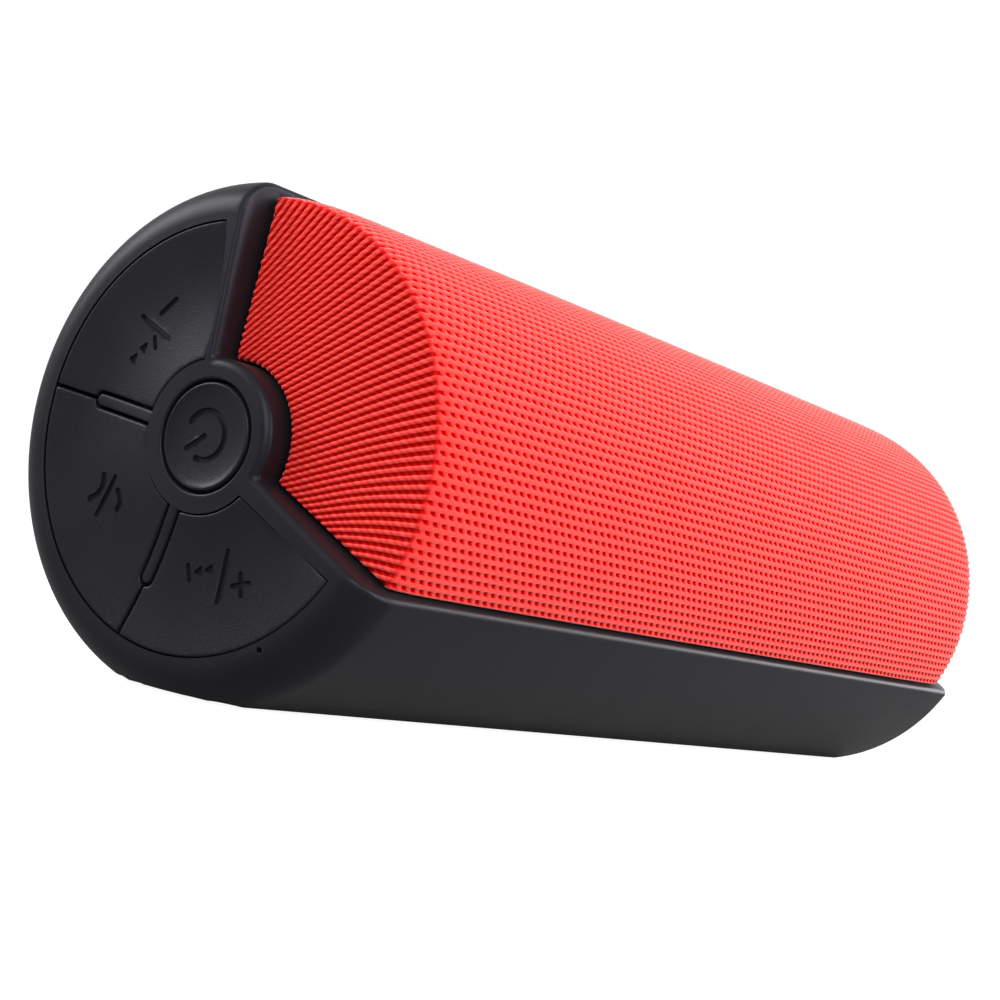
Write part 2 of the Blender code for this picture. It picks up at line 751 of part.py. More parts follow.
def screw_body(length, shank_r=SHANK_R):
    """A pan-head screw standing on local Z = 0, with a socket in its head."""
    socket_r = HEAD_R * 0.4
    socket_floor = HEAD_HIGH - 0.6
    profile = [(0, socket_floor), (socket_r, socket_floor), (socket_r, HEAD_HIGH)]
    profile += [(HEAD_R * 0.8, HEAD_HIGH), (HEAD_R, HEAD_HIGH * 0.6), (HEAD_R, 0.0)]
    profile += [(shank_r, 0.0), (shank_r, -length + 0.6), (0, -length)]
    return turned(profile, 8)


def make_driver(side, front):
    """One full-range driver; its cone, dust cap and voice coil move together along the axis."""
    word = "left" if side < 0 else "right"
    axis = bpy.data.objects.new(f"driver_{word}_axis", None)
    bpy.context.scene.collection.objects.link(axis)
    axis.parent = front
    axis.location = Vector((side * DRIVER_X, 0, 0)) * MM
    flange = BAFFLE_TOP + GAP
    basket = [
        (17.2, flange),
        (20.4, flange),
        (20.4, flange + 1.2),
        (15.4, flange + 1.2),
        (15.4, flange - 1.0),
        (12.4, 6.2),
        (8.0, 6.2),
        (8.0, 4.8),
        (13.6, 4.8),
    ]
    pieces = {
        "basket": (basket, "steel", True),
        "magnet": ([(7.4, -2.6), (13.0, -2.6), (13.0, 4.5), (7.4, 4.5)], "magnet_grey", True),
        "yoke": (
            [(0, -5.0), (13.0, -5.0), (13.0, -2.9), (5.6, -2.9), (5.6, 4.4), (0, 4.4)],
            "steel",
            False,
        ),
        "voice_coil": ([(6.2, 0.0), (6.7, 0.0), (6.7, 7.6), (6.2, 7.6)], "copper", True),
        "cone": (
            [(5.0, 8.2), (6.9, 8.2), (14.7, 17.0), (14.7, 17.9), (13.9, 17.9), (5.0, 9.2)],
            "paper_cone",
            True,
        ),
        "surround": (
            [
                (15.1, flange + 1.5),
                (19.6, flange + 1.5),
                (19.6, flange + 2.1),
                (18.6, flange + 3.1),
                (17.4, flange + 3.5),
                (16.2, flange + 3.1),
                (15.1, flange + 2.1),
            ],
            "foam_rubber",
            True,
        ),
        "dust_cap": (
            [(0, 10.4), (4.4, 10.4), (6.0, 10.9), (4.6, 12.3), (2.5, 13.1), (0, 13.4)],
            "paper_cone",
            False,
        ),
    }
    for part, (profile, finish, ring) in pieces.items():
        make(f"driver_{word}_{part}", turned(profile, 22, ring), finish, parent=axis)


def make_driver_screws(front):
    """Two clamping screws at opposite corners of each driver's flange."""
    first = bpy.data.objects["baffle_screw_1"]
    baffle = bpy.data.objects["baffle"]
    number = 0
    for side in (-1, 1):
        for corner in (-1, 1):
            number += 1
            x = side * DRIVER_X + corner * DRIVER_SCREW
            t = side * corner * DRIVER_SCREW
            hole = arc(TIGHT_HOLE_R, 0.0, 360.0, 8, (x, t))[:-1]
            cut(baffle, plate(hole, BAFFLE_LOW - 1, BAFFLE_TOP + 1), front)
            copy_of(first, f"driver_screw_{number}", (x, t, BAFFLE_TOP + GAP), front)


def make_radiator(front):
    """The passive radiator: a framed rubber roll round a stiff plate that moves in and out."""
    top = BAFFLE_TOP + GAP
    r = RADIATOR_R
    frame = [(r - 2.0, top), (r + 3.0, top), (r + 3.0, top + 1.0), (r - 2.0, top + 1.0)]
    make("radiator_frame", stadium_ring(frame, RADIATOR_HALF, 8), "frame_plastic", parent=front)
    base = top + 1.0 + GAP
    roll = [
        (r - 5.0, base),
        (r + 1.0, base),
        (r + 1.0, base + 0.6),
        (r - 0.6, base + 1.9),
        (r - 2.0, base + 2.3),
        (r - 3.4, base + 1.9),
        (r - 5.0, base + 0.6),
    ]
    make("radiator_roll", stadium_ring(roll, RADIATOR_HALF, 8), "foam_rubber", parent=front)
    mass = plate(stadium(RADIATOR_HALF, r - 5.4, 8), base - 1.2, base + 1.2)
    make("radiator_plate", mass, "magnet_grey", parent=front)


# ---------------------------------------------------------------- battery, boards and ports


def make_battery(front):
    """Two cylindrical cells end to end in a tray whose end walls carry the switch board."""
    for side, name in ((-1, "battery_cell_1"), (1, "battery_cell_2")):
        start = side * 1.0
        stop = side * (1.0 + CELL_LENGTH)
        tip = stop + side
        profile = [(start, 0), (start, CELL_R), (stop, CELL_R), (stop, TERMINAL_R)]
        profile += [(tip, TERMINAL_R), (tip, 0)]
        cell = turned_about_x(profile, 20)
        make(name, cell, "cell_wrap", (0, 0, CELL_N), front)
    outer = arc(CELL_R + 2.0, 200.0, 340.0, 14)
    inner = arc(CELL_R + 0.4, 340.0, 200.0, 14)
    outline = [(t, n + CELL_N) for t, n in outer + inner]
    ends = [[(x, t, n) for t, n in outline] for x in (-TRAY_REACH, TRAY_REACH)]
    tray = make("battery_tray", between(*ends), "frame_plastic", parent=front)
    swing = math.degrees(math.asin(TRAY_CUT_N / SWITCH_BOARD_R))
    wall = arc(SWITCH_BOARD_R, 180.0 - swing, 360.0 + swing, 28)
    for side in (-1, 1):
        low = [(side * (TRAY_REACH - TRAY_WALL), t, n) for t, n in wall]
        high = [(side * TRAY_REACH, t, n) for t, n in wall]
        join(tray, between(low, high), front)
    turn = math.radians(FRONT_ANGLE)
    screw = None
    for number, (forward, up) in enumerate(board_screw_places(), 1):
        t = up * math.cos(turn) - forward * math.sin(turn)
        n = up * math.sin(turn) + forward * math.cos(turn)
        hole = arc(TIGHT_HOLE_R, 0.0, 360.0, 10, (t, n))[:-1]
        ends = [[(x, a, b) for a, b in hole] for x in (-TRAY_REACH - 1, -TRAY_REACH + 3)]
        cut(tray, between(*ends), front)
        place = (SWITCH_BOARD_TOP - GAP - LENGTH / 2, t, n)
        name = f"board_screw_{number}"
        towards_end = (0, math.radians(-90), 0)
        if screw is None:
            screw = make(name, screw_body(4.0), "steel", place, front, towards_end)
        else:
            copy_of(screw, name, place, front)


def make_main_board():
    """The main board on its two posts, with the wireless module and the amplifier."""
    low = (-BOARD_HALF_X, BOARD_FRONT_Y, BOARD_Z)
    high = (BOARD_HALF_X, BOARD_BACK_Y, BOARD_Z + BOARD_THICK)
    board = make("main_board", box(low, high), "board_green")
    base = BOARD_Z + BOARD_THICK + GAP
    for number, side in enumerate((-1, 1), 3):
        cut(board, hole_at(side * POST_X, POST_Y, SCREW_HOLE_R, BOARD_Z - 2.0, BOARD_Z + 3.0))
        place = (side * POST_X, POST_Y, base)
        make(f"board_screw_{number}", screw_body(3.4, 0.9), "steel", place)
    module = box((-34.0, 8.0, base), (-16.0, 20.0, base + 2.2))
    make("wireless_module", module, "steel")
    amplifier = box((18.0, 9.0, base), (26.0, 17.0, base + 1.4))
    make("amplifier_chip", amplifier, "chip_black")


def aux_cylinder(radius, start_y, stop_y, base):
    """A cylinder along Y on the audio jack's axis."""
    data = turned([(0, start_y), (radius, start_y), (radius, stop_y), (0, stop_y)], 20)
    spin = Matrix.Rotation(math.radians(-90), 3, "X")
    bmesh.ops.rotate(data, cent=(0, 0, 0), matrix=spin, verts=data.verts)
    bmesh.ops.translate(data, vec=(AUX_X, 0.0, base + AUX_RISE), verts=data.verts)
    return data


def make_ports():
    """The charging port, audio jack and card slot on the main board, and the plate behind them."""
    base = BOARD_Z + BOARD_THICK + GAP
    front_y = PORT_PLATE_Y + PORT_PLATE_THICK - 0.3
    usb = make("usb_port", box((-15.0, 22.0, base), (-6.0, front_y, base + 3.2)), "steel")
    cut(usb, box((-14.4, 24.0, base + 0.6), (-6.6, front_y + 1, base + 2.6)))
    tongue = box((-13.2, 23.5, base + 1.3), (-7.8, front_y - 1.0, base + 1.9))
    join(usb, tongue)
    aux = make("aux_jack", box((-4.6, 17.0, base), (1.6, 27.6, base + 2 * AUX_RISE)), "chip_black")
    join(aux, aux_cylinder(AUX_NOSE_R, 26.0, front_y, base))
    cut(aux, aux_cylinder(AUX_BORE_R, 18.0, front_y + 1, base))
    slot = make("card_slot", box((4.0, 15.0, base), (16.0, front_y, base + 1.8)), "steel")
    cut(slot, box((4.5, 17.0, base + 0.5), (15.5, front_y + 1, base + 1.3)))
    plate_low = (-PORT_PLATE_HALF_X, PORT_PLATE_Y, PORT_PLATE_LOW)
    plate_high = (PORT_PLATE_HALF_X, PORT_PLATE_Y + PORT_PLATE_THICK, PORT_PLATE_HIGH)
    port_plate = make("port_plate", box(plate_low, plate_high), "frame_plastic")
    inside_y = PORT_PLATE_Y - 1.2
    outside_y = PORT_PLATE_Y + 2.8
    cut(port_plate, box((-15.4, inside_y, base - 0.4), (-5.6, outside_y, base + 3.6)))
    cut(port_plate, box((3.6, inside_y, base - 0.4), (16.4, outside_y, base + 2.2)))
    cut(port_plate, aux_cylinder(AUX_NOSE_R + 0.4, inside_y, outside_y, base))


def make_port_flap():
    """The rubber flap over the ports; it swings out and down about its lower outer edge."""
    inner_r = SHELL_R - FLAP_THICK
    steps = 8

    def sweep(radius):
        low = math.degrees(math.asin(FLAP_LOW_Z / radius))
        high = math.degrees(math.asin(FLAP_HIGH_Z / radius))
        angles = [low + (high - low) * i / steps for i in range(steps + 1)]
        return [(radius * math.cos(math.radians(a)), radius * math.sin(math.radians(a))) for a in angles]

    outline = sweep(SHELL_R) + sweep(inner_r)[::-1]
    hinge_y = math.sqrt(SHELL_R**2 - FLAP_LOW_Z**2)
    origin = (0, hinge_y, FLAP_LOW_Z)
    sides = [[(x, y, z) for y, z in outline] for x in (-FLAP_HALF_X, FLAP_HALF_X)]
    make("port_flap", shifted(between(*sides), origin), "key_rubber", origin)


def main():
    clear_scene()
    front = bpy.data.objects.new("front_frame", None)
    bpy.context.scene.collection.objects.link(front)
    front.location = (0, 0, AXIS_Z * MM)
    front.rotation_euler = (math.radians(90.0 - FRONT_ANGLE), 0, 0)
    make_housing()
    make_foot_pad()
    make_keys()
    make_power_button()
    make_switches()
    make_switch_board()
    cover = (COVER_R, COVER_HUB_DEPTH, COVER_CREASE_DEPTH, GAP, COVER_THICK, False)
    front_sheet("cover", "red_knit", *cover)
    below = COVER_THICK + GAP
    grille = (GRILLE_R, COVER_HUB_DEPTH + below, COVER_CREASE_DEPTH + below, 1.0, GRILLE_THICK, True)
    front_sheet("grille", "frame_plastic", *grille)
    make_baffle(front)
    for side in (-1, 1):
        make_driver(side, front)
    make_driver_screws(front)
    make_radiator(front)
    make_battery(front)
    make_main_board()
    make_ports()
    make_port_flap()


main()
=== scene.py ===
import json
import math

import bmesh
import bpy
import numpy as np
from mathutils import Matrix, Vector
from mathutils.geometry import delaunay_2d_cdt

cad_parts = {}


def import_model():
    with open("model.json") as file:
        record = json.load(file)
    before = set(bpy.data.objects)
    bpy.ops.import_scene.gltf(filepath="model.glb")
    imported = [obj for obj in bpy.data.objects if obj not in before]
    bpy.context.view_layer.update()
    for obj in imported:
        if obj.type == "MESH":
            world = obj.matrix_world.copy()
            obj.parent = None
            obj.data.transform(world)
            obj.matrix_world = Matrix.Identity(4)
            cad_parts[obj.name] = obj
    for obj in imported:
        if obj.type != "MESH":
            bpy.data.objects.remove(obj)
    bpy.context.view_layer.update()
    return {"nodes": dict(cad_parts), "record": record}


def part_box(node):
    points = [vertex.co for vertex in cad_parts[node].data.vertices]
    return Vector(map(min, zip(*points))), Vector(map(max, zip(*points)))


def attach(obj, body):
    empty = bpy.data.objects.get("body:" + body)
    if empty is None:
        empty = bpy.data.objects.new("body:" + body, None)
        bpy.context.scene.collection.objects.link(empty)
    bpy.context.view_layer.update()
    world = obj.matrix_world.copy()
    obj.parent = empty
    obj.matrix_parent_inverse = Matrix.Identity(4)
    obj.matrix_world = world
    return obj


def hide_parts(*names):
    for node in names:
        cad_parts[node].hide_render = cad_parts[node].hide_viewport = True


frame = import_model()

# The looks of a lying cylindrical speaker: black soft-touch housing, red knitted cover that wraps
# round onto both ends, three dished keys and a power button on the control end.
#
# Lengths are in millimetres. A place on the speaker is (x, forward, up): x along its axis from the
# middle, forward towards -Y and up from the axis. Angles round the axis start at the front and grow
# upwards. Depth is measured from an end's face inwards.

MM = 0.001
SHARP_ANGLE = 40.0

# ---------------------------------------------------------------- sizes read from the frame

MOUNTS = {mount["name"]: mount["pos_m"] for mount in frame["record"]["mounts"]}
HALF = MOUNTS["plain_end_rest"][0] / MM
AXIS_Z = MOUNTS["plain_end_rest"][2] / MM
HOUSING_LOW, HOUSING_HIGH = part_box("housing")
SHELL_R = HOUSING_HIGH.y / MM
FLAT_DEPTH = AXIS_Z - HOUSING_LOW.z / MM
COVER_R = -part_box("cover")[0].y / MM
FLAP_LOW, FLAP_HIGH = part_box("port_flap")
FOOT_LOW, FOOT_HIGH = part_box("foot_pad")
FLAP_HALF = FLAP_HIGH.x / MM
FLAP_BOTTOM = FLAP_LOW.z / MM - AXIS_Z
FLAP_TOP = FLAP_HIGH.z / MM - AXIS_Z
FOOT_HALF = FOOT_HIGH.x / MM
FOOT_R = FOOT_HIGH.y / MM
FOOT_BOTTOM = FOOT_LOW.z / MM - AXIS_Z
FOOT_TOP = FOOT_HIGH.z / MM - AXIS_Z
LENGTH = 2 * HALF

# ---------------------------------------------------------------- sizes of the housing

WALL = 2.6
END_PLATE = 3.0
SKIRT = 2.0
SKIRT_DEPTH = 9.0
CONTROL_RIM = (30.6, 6.1)
PLAIN_RIM = (31.25, 3.2)
HUB_R = 10.8
UPPER_ANGLE = 90.0
UPPER_OFFSET = 1.33
LOWER_ANGLE = -28.5
LOWER_OFFSET = 0.86
UPPER_EDGE = (0.8, 2.4)
LOWER_EDGE = 1.0
HUB_EDGE = 1.3
LIP = 0.85
COVE = 0.9
GROOVE_EDGE = 0.3
PINHOLE_R = 30.75
PINHOLE_ANGLE = -57.8
PINHOLE_SIZE = 0.42
PINHOLE_DEPTH = 1.5
PINHOLE_EDGE = 0.08
MARK_HALF = 0.22
MARK_DEPTH = 0.35
INNER_CORNER = 0.5
RIM_ROWS = 22
BODY_ROWS = (12.0, 30.0, 48.0, 66.0)

# ---------------------------------------------------------------- sizes of the keys

GROOVE_HALF = 0.23
POWER_GROOVE_R = 7.6
POWER_RIM_R = 6.95
POWER_BOWL_R = 6.55
KEY_IN_R = 10.4
KEY_OUT_R = 29.7
SEPARATORS = (172.8, 253.4)
BAR_HALF = 1.05
BAR_END_R = 20.95
BAR_ROOT_R = 9.5
BAR_SINK = 0.004
BAR_EDGE = 0.28
KEY_UPPER_OFFSET = 2.45
KEY_UPPER_BOW = 1.35
BOW_FROM_R = 16.0
BOW_LENGTH = 13.3
KEY_LOWER_ANGLE = -26.1
KEY_LOWER_OFFSET = 2.68
KEY_DISH = 0.8
KEY_BODY = 2.7
KEY_EDGE = 0.3
FLANGE_TOP = 3.3
FLANGE_BOTTOM = 4.3
STEM_END = 6.9
STEM_R = 2.0
STEM_AT_R = 20.0
WEB_MARGIN = 1.4
WEB_IN_R = 11.8
WEB_OUT_R = 28.3
FLANGE_MARGIN = 1.8
FLANGE_IN_R = 9.4
FLANGE_OUT_R = 31.0
POWER_FLANGE_R = 8.3
POWER_EDGE = 0.35
POWER_BOWL = 0.45
POWER_STEP = 0.22
KEYS = {"key_volume_down": 133.0, "key_call_play": 213.0, "key_volume_up": 290.0}
ICON_DEPTH = 0.42
ICON_SLOPE = 0.1
STROKE = 0.74

# ---------------------------------------------------------------- sizes of the cover

COVER_GAP = 0.3
COVER_THICK = 1.0
HUB_DEPTH = 4.1
CREASE_DEPTH = 5.4
CREASE_ROUND = 0.45
CREASE_SWELL = 0.55
SWELL_LENGTH = 7.0
BARREL = 0.3
RIB_PITCH = 2.17
STITCH_PITCH = 1.85
END_STITCH_PITCH = 2.15
STITCH_SLANT = 0.55
RIB_COLUMNS = 6
STITCH_ROWS = 4
END_ROWS = 116
CREASE_R = 34.3
CREASE_BLEND = 0.8
BACK_EVERY = 8
BACK_GAP = 0.45
WEAVE_SINK = 0.2
RIB_WOBBLE = 0.06
STITCH_WOBBLE = 0.08
HEIGHT_WOBBLE = 0.12

# The knit's edges tuck in. SIDE_TUCK is (share of the width, depth) from a side; HUB_TUCK is
# (depth, radius) past the hub's edge; ROW_FADE is how much of the weave the first rows there show.
SIDE_TUCK = ((0.0, 1.1), (0.0016, 0.42), (0.0045, 0.1))
HUB_TUCK = ((1.2, 0.0), (0.35, 0.05), (0.08, 0.2))
HUB_MARGIN = 0.45
ROW_FADE = (0.0, 0.0, 0.3, 0.7)

# The ribs on an end fan out from a middle line. A rib that meets the crease swing degrees from that
# line runs in at OUTER[0] + OUTER[1] * swing degrees, and bends to INNER's direction over FAN_REACH.
FAN_CENTRE = 27.6
FAN_OUTER = (-2.2, 0.603)
FAN_INNER = (1.5, 0.397)
FAN_REACH = 14.2

# ---------------------------------------------------------------- sizes of the port flap and foot pad

FLAP_CORNER = 2.2
FLAP_GAP = 0.3
FLAP_THICK = 1.6
FLAP_EDGE = 0.4
FLAP_SINK = 0.02
WINDOW_EDGE = 0.25
SCOOP_DEPTH = 0.45
SCOOP_HALF = 5.5
SCOOP_START = 3.6
SCOOP_RISE = 2.6
SCOOP_FADE = 0.9
CHARGER_PLUG = (4.3, 1.2, 0.6)
CARD_PLUG = (5.2, 0.5, 0.3)
JACK_PLUG_R = 1.6
PLUG_PLACES = ((-10.5, 7.1), (-1.5, 8.5), (10.0, 6.4))
PLUG_LENGTH = 1.0
FOOT_GAP = 0.3
FOOT_POCKET = 1.0
POCKET_EDGE = 0.2
FOOT_EDGE = 0.25
FOOT_MARGIN = 1.6
GRIP_PITCH = 2.7
GRIP_DEPTH = 0.12


def world(x, forward, up):
    """A place on the speaker, in metres in the frame's axes."""
    return (x * MM, -forward * MM, (up + AXIS_Z) * MM)


def at_end(forward, up, depth, end=-1):
    """A place below an end's face; end is -1 at the controls and +1 at the plain end."""
    return world(end * (HALF - depth), forward, up)


def end_row(loop, depth, end=-1):
    """A loop of (forward, up) points placed at one depth below an end's face."""
    return [at_end(f, u, depth, end) for f, u in loop]


def polar(radius, degrees):
    angle = math.radians(degrees)
    return radius * math.cos(angle), radius * math.sin(angle)


def spread(start, stop, steps):
    """Even values from start to stop, both included."""
    return [start + (stop - start) * i / steps for i in range(steps + 1)]


def arc(radius, start, stop, steps, centre=(0.0, 0.0)):
    """Points on a circle from start to stop degrees, both included."""
    points = []
    for angle in spread(start, stop, steps):
        x, y = polar(radius, angle)
        points.append((centre[0] + x, centre[1] + y))
    return points


def circle(radius, count, centre=(0.0, 0.0)):
    """A closed round outline."""
    return arc(radius, 0.0, 360.0, count, centre)[:-1]


def beside(direction, offset, along):
    """A point along a ray from the axis, moved sideways by offset towards larger angles."""
    c, s = polar(1.0, direction)
    return along * c - offset * s, along * s + offset * c


def angle_of(point):
    return math.degrees(math.atan2(point[1], point[0]))


def wall_angle(direction, offset, radius):
    return direction + math.degrees(math.asin(offset / radius))


# ---------------------------------------------------------------- mesh helpers


def new_object(name, data):
    obj = bpy.data.objects.new(name, data)
    bpy.context.scene.collection.objects.link(obj)
    return obj


def face_outwards(mesh, weld=False):
    """Turns all faces outwards, after welding points that coincide if asked to."""
    data = bmesh.new()
    data.from_mesh(mesh)
    if weld:
        bmesh.ops.remove_doubles(data, verts=data.verts, dist=0.002 * MM)
        bmesh.ops.dissolve_degenerate(data, edges=data.edges, dist=0.001 * MM)
    bmesh.ops.recalc_face_normals(data, faces=data.faces)
    data.to_mesh(mesh)
    data.free()


class Skin:
    """Collects points and faces in metres, then turns them into one welded object."""

    def __init__(self):
        self.points = []
        self.faces = []

    def add(self, points):
        start = len(self.points)
        self.points.extend(points)
        return list(range(start, len(self.points)))

    def strip(self, first, second):
        """Quads between two matching closed rows of point numbers."""
        count = len(first)
        for i in range(count):
            j = (i + 1) % count
            self.faces.append((first[i], first[j], second[j], second[i]))

    def stack(self, rows):
        """Strips between each row and the next; gives the point numbers of every row."""
        numbers = [self.add(row) for row in rows]
        for first, second in zip(numbers, numbers[1:]):
            self.strip(first, second)
        return numbers

    def fill(self, loop):
        self.faces.append(tuple(loop))

    def patch(self, flat, faces, lift):
        """Adds a triangulated flat patch, each point lifted into place."""
        numbers = self.add([lift(x, y) for x, y in flat])
        self.faces.extend(tuple(numbers[i] for i in face) for face in faces)

    def build(self, name, slot="soft_black"):
        mesh = bpy.data.meshes.new(name)
        mesh.from_pydata(self.points, [], self.faces)
        face_outwards(mesh, weld=True)
        mesh.shade_smooth()
        mesh.set_sharp_from_angle(angle=math.radians(SHARP_ANGLE))
        mesh.materials.append(FINISHES[slot])
        return new_object(name, mesh)


def inside(points, polygon):
    """True for each point that lies within a polygon."""
    points = np.asarray(points, float)
    corners = np.asarray(polygon, float)
    nexts = np.roll(corners, -1, axis=0)
    x = points[:, 0:1]
    y = points[:, 1:2]
    crosses = (corners[:, 1] > y) != (nexts[:, 1] > y)
    rise = nexts[:, 1] - corners[:, 1]
    rise = np.where(np.abs(rise) < 1e-12, 1e-12, rise)
    cut_x = corners[:, 0] + (y - corners[:, 1]) * (nexts[:, 0] - corners[:, 0]) / rise
    return (crosses & (x < cut_x)).sum(axis=1) % 2 == 1


def offset_loop(points, distance):
    """Moves a closed counter-clockwise outline outwards by distance, with mitred corners."""
    p = np.asarray(points, float)
    before = p - np.roll(p, 1, axis=0)
    after = np.roll(p, -1, axis=0) - p
    normals = []
    for edge in (before, after):
        length = np.maximum(np.linalg.norm(edge, axis=1, keepdims=True), 1e-9)
        normals.append(np.column_stack([edge[:, 1], -edge[:, 0]]) / length)
    total = normals[0] + normals[1]
    size = np.maximum((total**2).sum(axis=1, keepdims=True) / 2, 0.35)
    return [tuple(q) for q in p + distance * total / size]


def flat_patch(outline, holes=(), lines=(), spacing=1.0):
    """Triangles that fill an outline but for its holes, keeping the given closed lines as edges."""
    loops = [outline, *holes, *lines]
    points = [point for loop in loops for point in loop]
    edges = []
    start = 0
    for loop in loops:
        count = len(loop)
        edges += [(start + i, start + (i + 1) % count) for i in range(count)]
        start += count
    rim = np.array(points, float)
    low, high = rim.min(axis=0), rim.max(axis=0)
    xs = np.arange(low[0], high[0], spacing)
    ys = np.arange(low[1], high[1], spacing * 0.87)
    grid = [(x + (spacing / 2 if row % 2 else 0), y) for row, y in enumerate(ys) for x in xs]
    grid = np.array(grid)
    keep = inside(grid, outline)
    for hole in holes:
        keep &= ~inside(grid, hole)
    grid = grid[keep]
    if len(grid):
        gap = np.full(len(grid), 1e9)
        for part in np.array_split(rim, max(1, len(rim) // 200)):
            away = np.linalg.norm(grid[:, None, :] - part[None, :, :], axis=2).min(axis=1)
            gap = np.minimum(gap, away)
        points += [tuple(q) for q in grid[gap > 0.45 * spacing]]
    found = delaunay_2d_cdt([Vector(p) for p in points], edges, [], 1, 1e-7)
    flat = [(v.x, v.y) for v in found[0]]
    faces = [tuple(face) for face in found[2]]
    middles = np.array([np.mean([flat[i] for i in face], axis=0) for face in faces])
    keep = inside(middles, outline)
    for hole in holes:
        keep &= ~inside(middles, hole)
    return flat, [face for face, kept in zip(faces, keep) if kept]


def quarter(steps):
    """Pairs (inset, drop) round a convex edge of radius 1, from its top to its side."""
    return [(1 - y, 1 - x) for x, y in arc(1.0, 0.0, 90.0, steps)]


def round_inset(radius, depth):
    """How far an edge of this radius is drawn in, depth below the face."""
    if depth >= radius:
        return 0.0
    return radius - math.sqrt(radius**2 - (radius - depth) ** 2)


# ---------------------------------------------------------------- procedural materials


def add_node(tree, kind, inputs=None, **settings):
    """A shader node; each input is a value or another node's output."""
    made = tree.nodes.new("ShaderNode" + kind)
    for key, value in settings.items():
        setattr(made, key, value)
    for key, value in (inputs or {}).items():
        if isinstance(value, bpy.types.NodeSocket):
            tree.links.new(value, made.inputs[key])
        else:
            made.inputs[key].default_value = value
    return made


class Paint:
    """A Principled material whose inputs are driven by procedural nodes."""

    def __init__(self, name, roughness, metallic=0.0):
        self.material = bpy.data.materials.new(name)
        self.material.use_nodes = True
        self.tree = self.material.node_tree
        self.shader = self.tree.nodes["Principled BSDF"]
        self.set({"Roughness": roughness, "Metallic": metallic})
        self.place = self.node("TexCoord").outputs["Object"]

    def set(self, values):
        for key, value in values.items():
            self.shader.inputs[key].default_value = value

    def node(self, kind, inputs=None, **settings):
        return add_node(self.tree, kind, inputs, **settings)

    def link(self, source, target):
        self.tree.links.new(source, self.shader.inputs[target])

    def stretched(self, scale):
        """Object coordinates in millimetres, stretched along the axes."""
        factors = tuple(s / MM for s in scale)
        return self.node("Mapping", {"Vector": self.place, "Scale": factors}).outputs[0]

    def noise(self, size_mm, detail=3.0, stretch=(1, 1, 1), rough=0.55):
        """Noise whose blobs are about size_mm across."""
        scale = [s / size_mm for s in stretch]
        inputs = {"Vector": self.stretched(scale), "Scale": 1.0, "Detail": detail, "Roughness": rough}
        return self.node("TexNoise", inputs).outputs["Fac"]

    def cells(self, size_mm):
        """Rounded pits about size_mm across."""
        place = self.stretched([1 / size_mm] * 3)
        return self.node("TexVoronoi", {"Vector": place, "Scale": 1.0}).outputs["Distance"]

    def remap(self, value, low, high, from_low=0.0, from_high=1.0):
        inputs = {0: value, 1: from_low, 2: from_high, 3: low, 4: high}
        return self.node("MapRange", inputs).outputs[0]

    def maths(self, operation, a, b=0.0, clamp=False):
        return self.node("Math", {0: a, 1: b}, operation=operation, use_clamp=clamp).outputs[0]

    def times(self, a, b, clamp=False):
        return self.maths("MULTIPLY", a, b, clamp)

    def plus(self, a, b, clamp=False):
        return self.maths("ADD", a, b, clamp)

    def mix(self, factor, a, b):
        """A colour between a and b."""
        inputs = {0: factor, 6: (*a, 1.0) if isinstance(a, tuple) else a}
        inputs[7] = (*b, 1.0) if isinstance(b, tuple) else b
        return self.node("Mix", inputs, data_type="RGBA").outputs[2]

    def bump(self, height, distance_mm, strength, under=None):
        inputs = {"Height": height, "Distance": distance_mm * MM, "Strength": strength}
        if under is not None:
            inputs["Normal"] = under
        return self.node("Bump", inputs).outputs[0]

    def finish(self, colour, rough, relief):
        """Links a colour mix, a roughness remap (if any) and a bump; gives the material."""
        self.link(self.mix(*colour), "Base Color")
        if rough:
            self.link(self.remap(*rough), "Roughness")
        self.link(self.bump(*relief), "Normal")
        return self.material

    def edge_wear(self, colour, worn, amount):
        """Blends to a worn tone on sharp convex edges."""
        geometry = self.node("NewGeometry").outputs["Pointiness"]
        share = self.remap(geometry, 0.0, amount, 0.52, 0.62)
        return self.mix(share, colour, worn)


def scaled(tone, factor):
    """A lighter or darker tone."""
    return tuple(factor * c for c in tone)


def soft_touch(name, tone, light, roughness, grain):
    """Soft-touch black: fine spark-eroded grain, faint cloudy wear in the tone and the sheen."""
    paint = Paint(name, roughness)
    clouds = paint.noise(14.0, 4.0)
    fine = paint.noise(grain, 2.0)
    colour = paint.mix(paint.remap(clouds, 0.0, 1.0, 0.35, 0.7), tone, light)
    speck = paint.mix(paint.remap(fine, 0.0, 0.35, 0.45, 0.75), colour, scaled(light, 1.5))
    paint.link(paint.edge_wear(speck, scaled(light, 1.6), 0.3), "Base Color")
    sheen = paint.plus(paint.remap(clouds, -0.05, 0.05), paint.remap(fine, -0.04, 0.04))
    paint.link(paint.plus(sheen, roughness, True), "Roughness")
    coarse = paint.bump(paint.cells(grain * 1.6), 0.02, 0.45)
    paint.link(paint.bump(fine, 0.012, 0.5, coarse), "Normal")
    paint.set({"Specular IOR Level": 0.2, "Specular Tint": (0.84, 0.82, 1.0, 1.0)})
    paint.set({"Sheen Weight": 0.02, "Sheen Roughness": 0.5})
    return paint.material


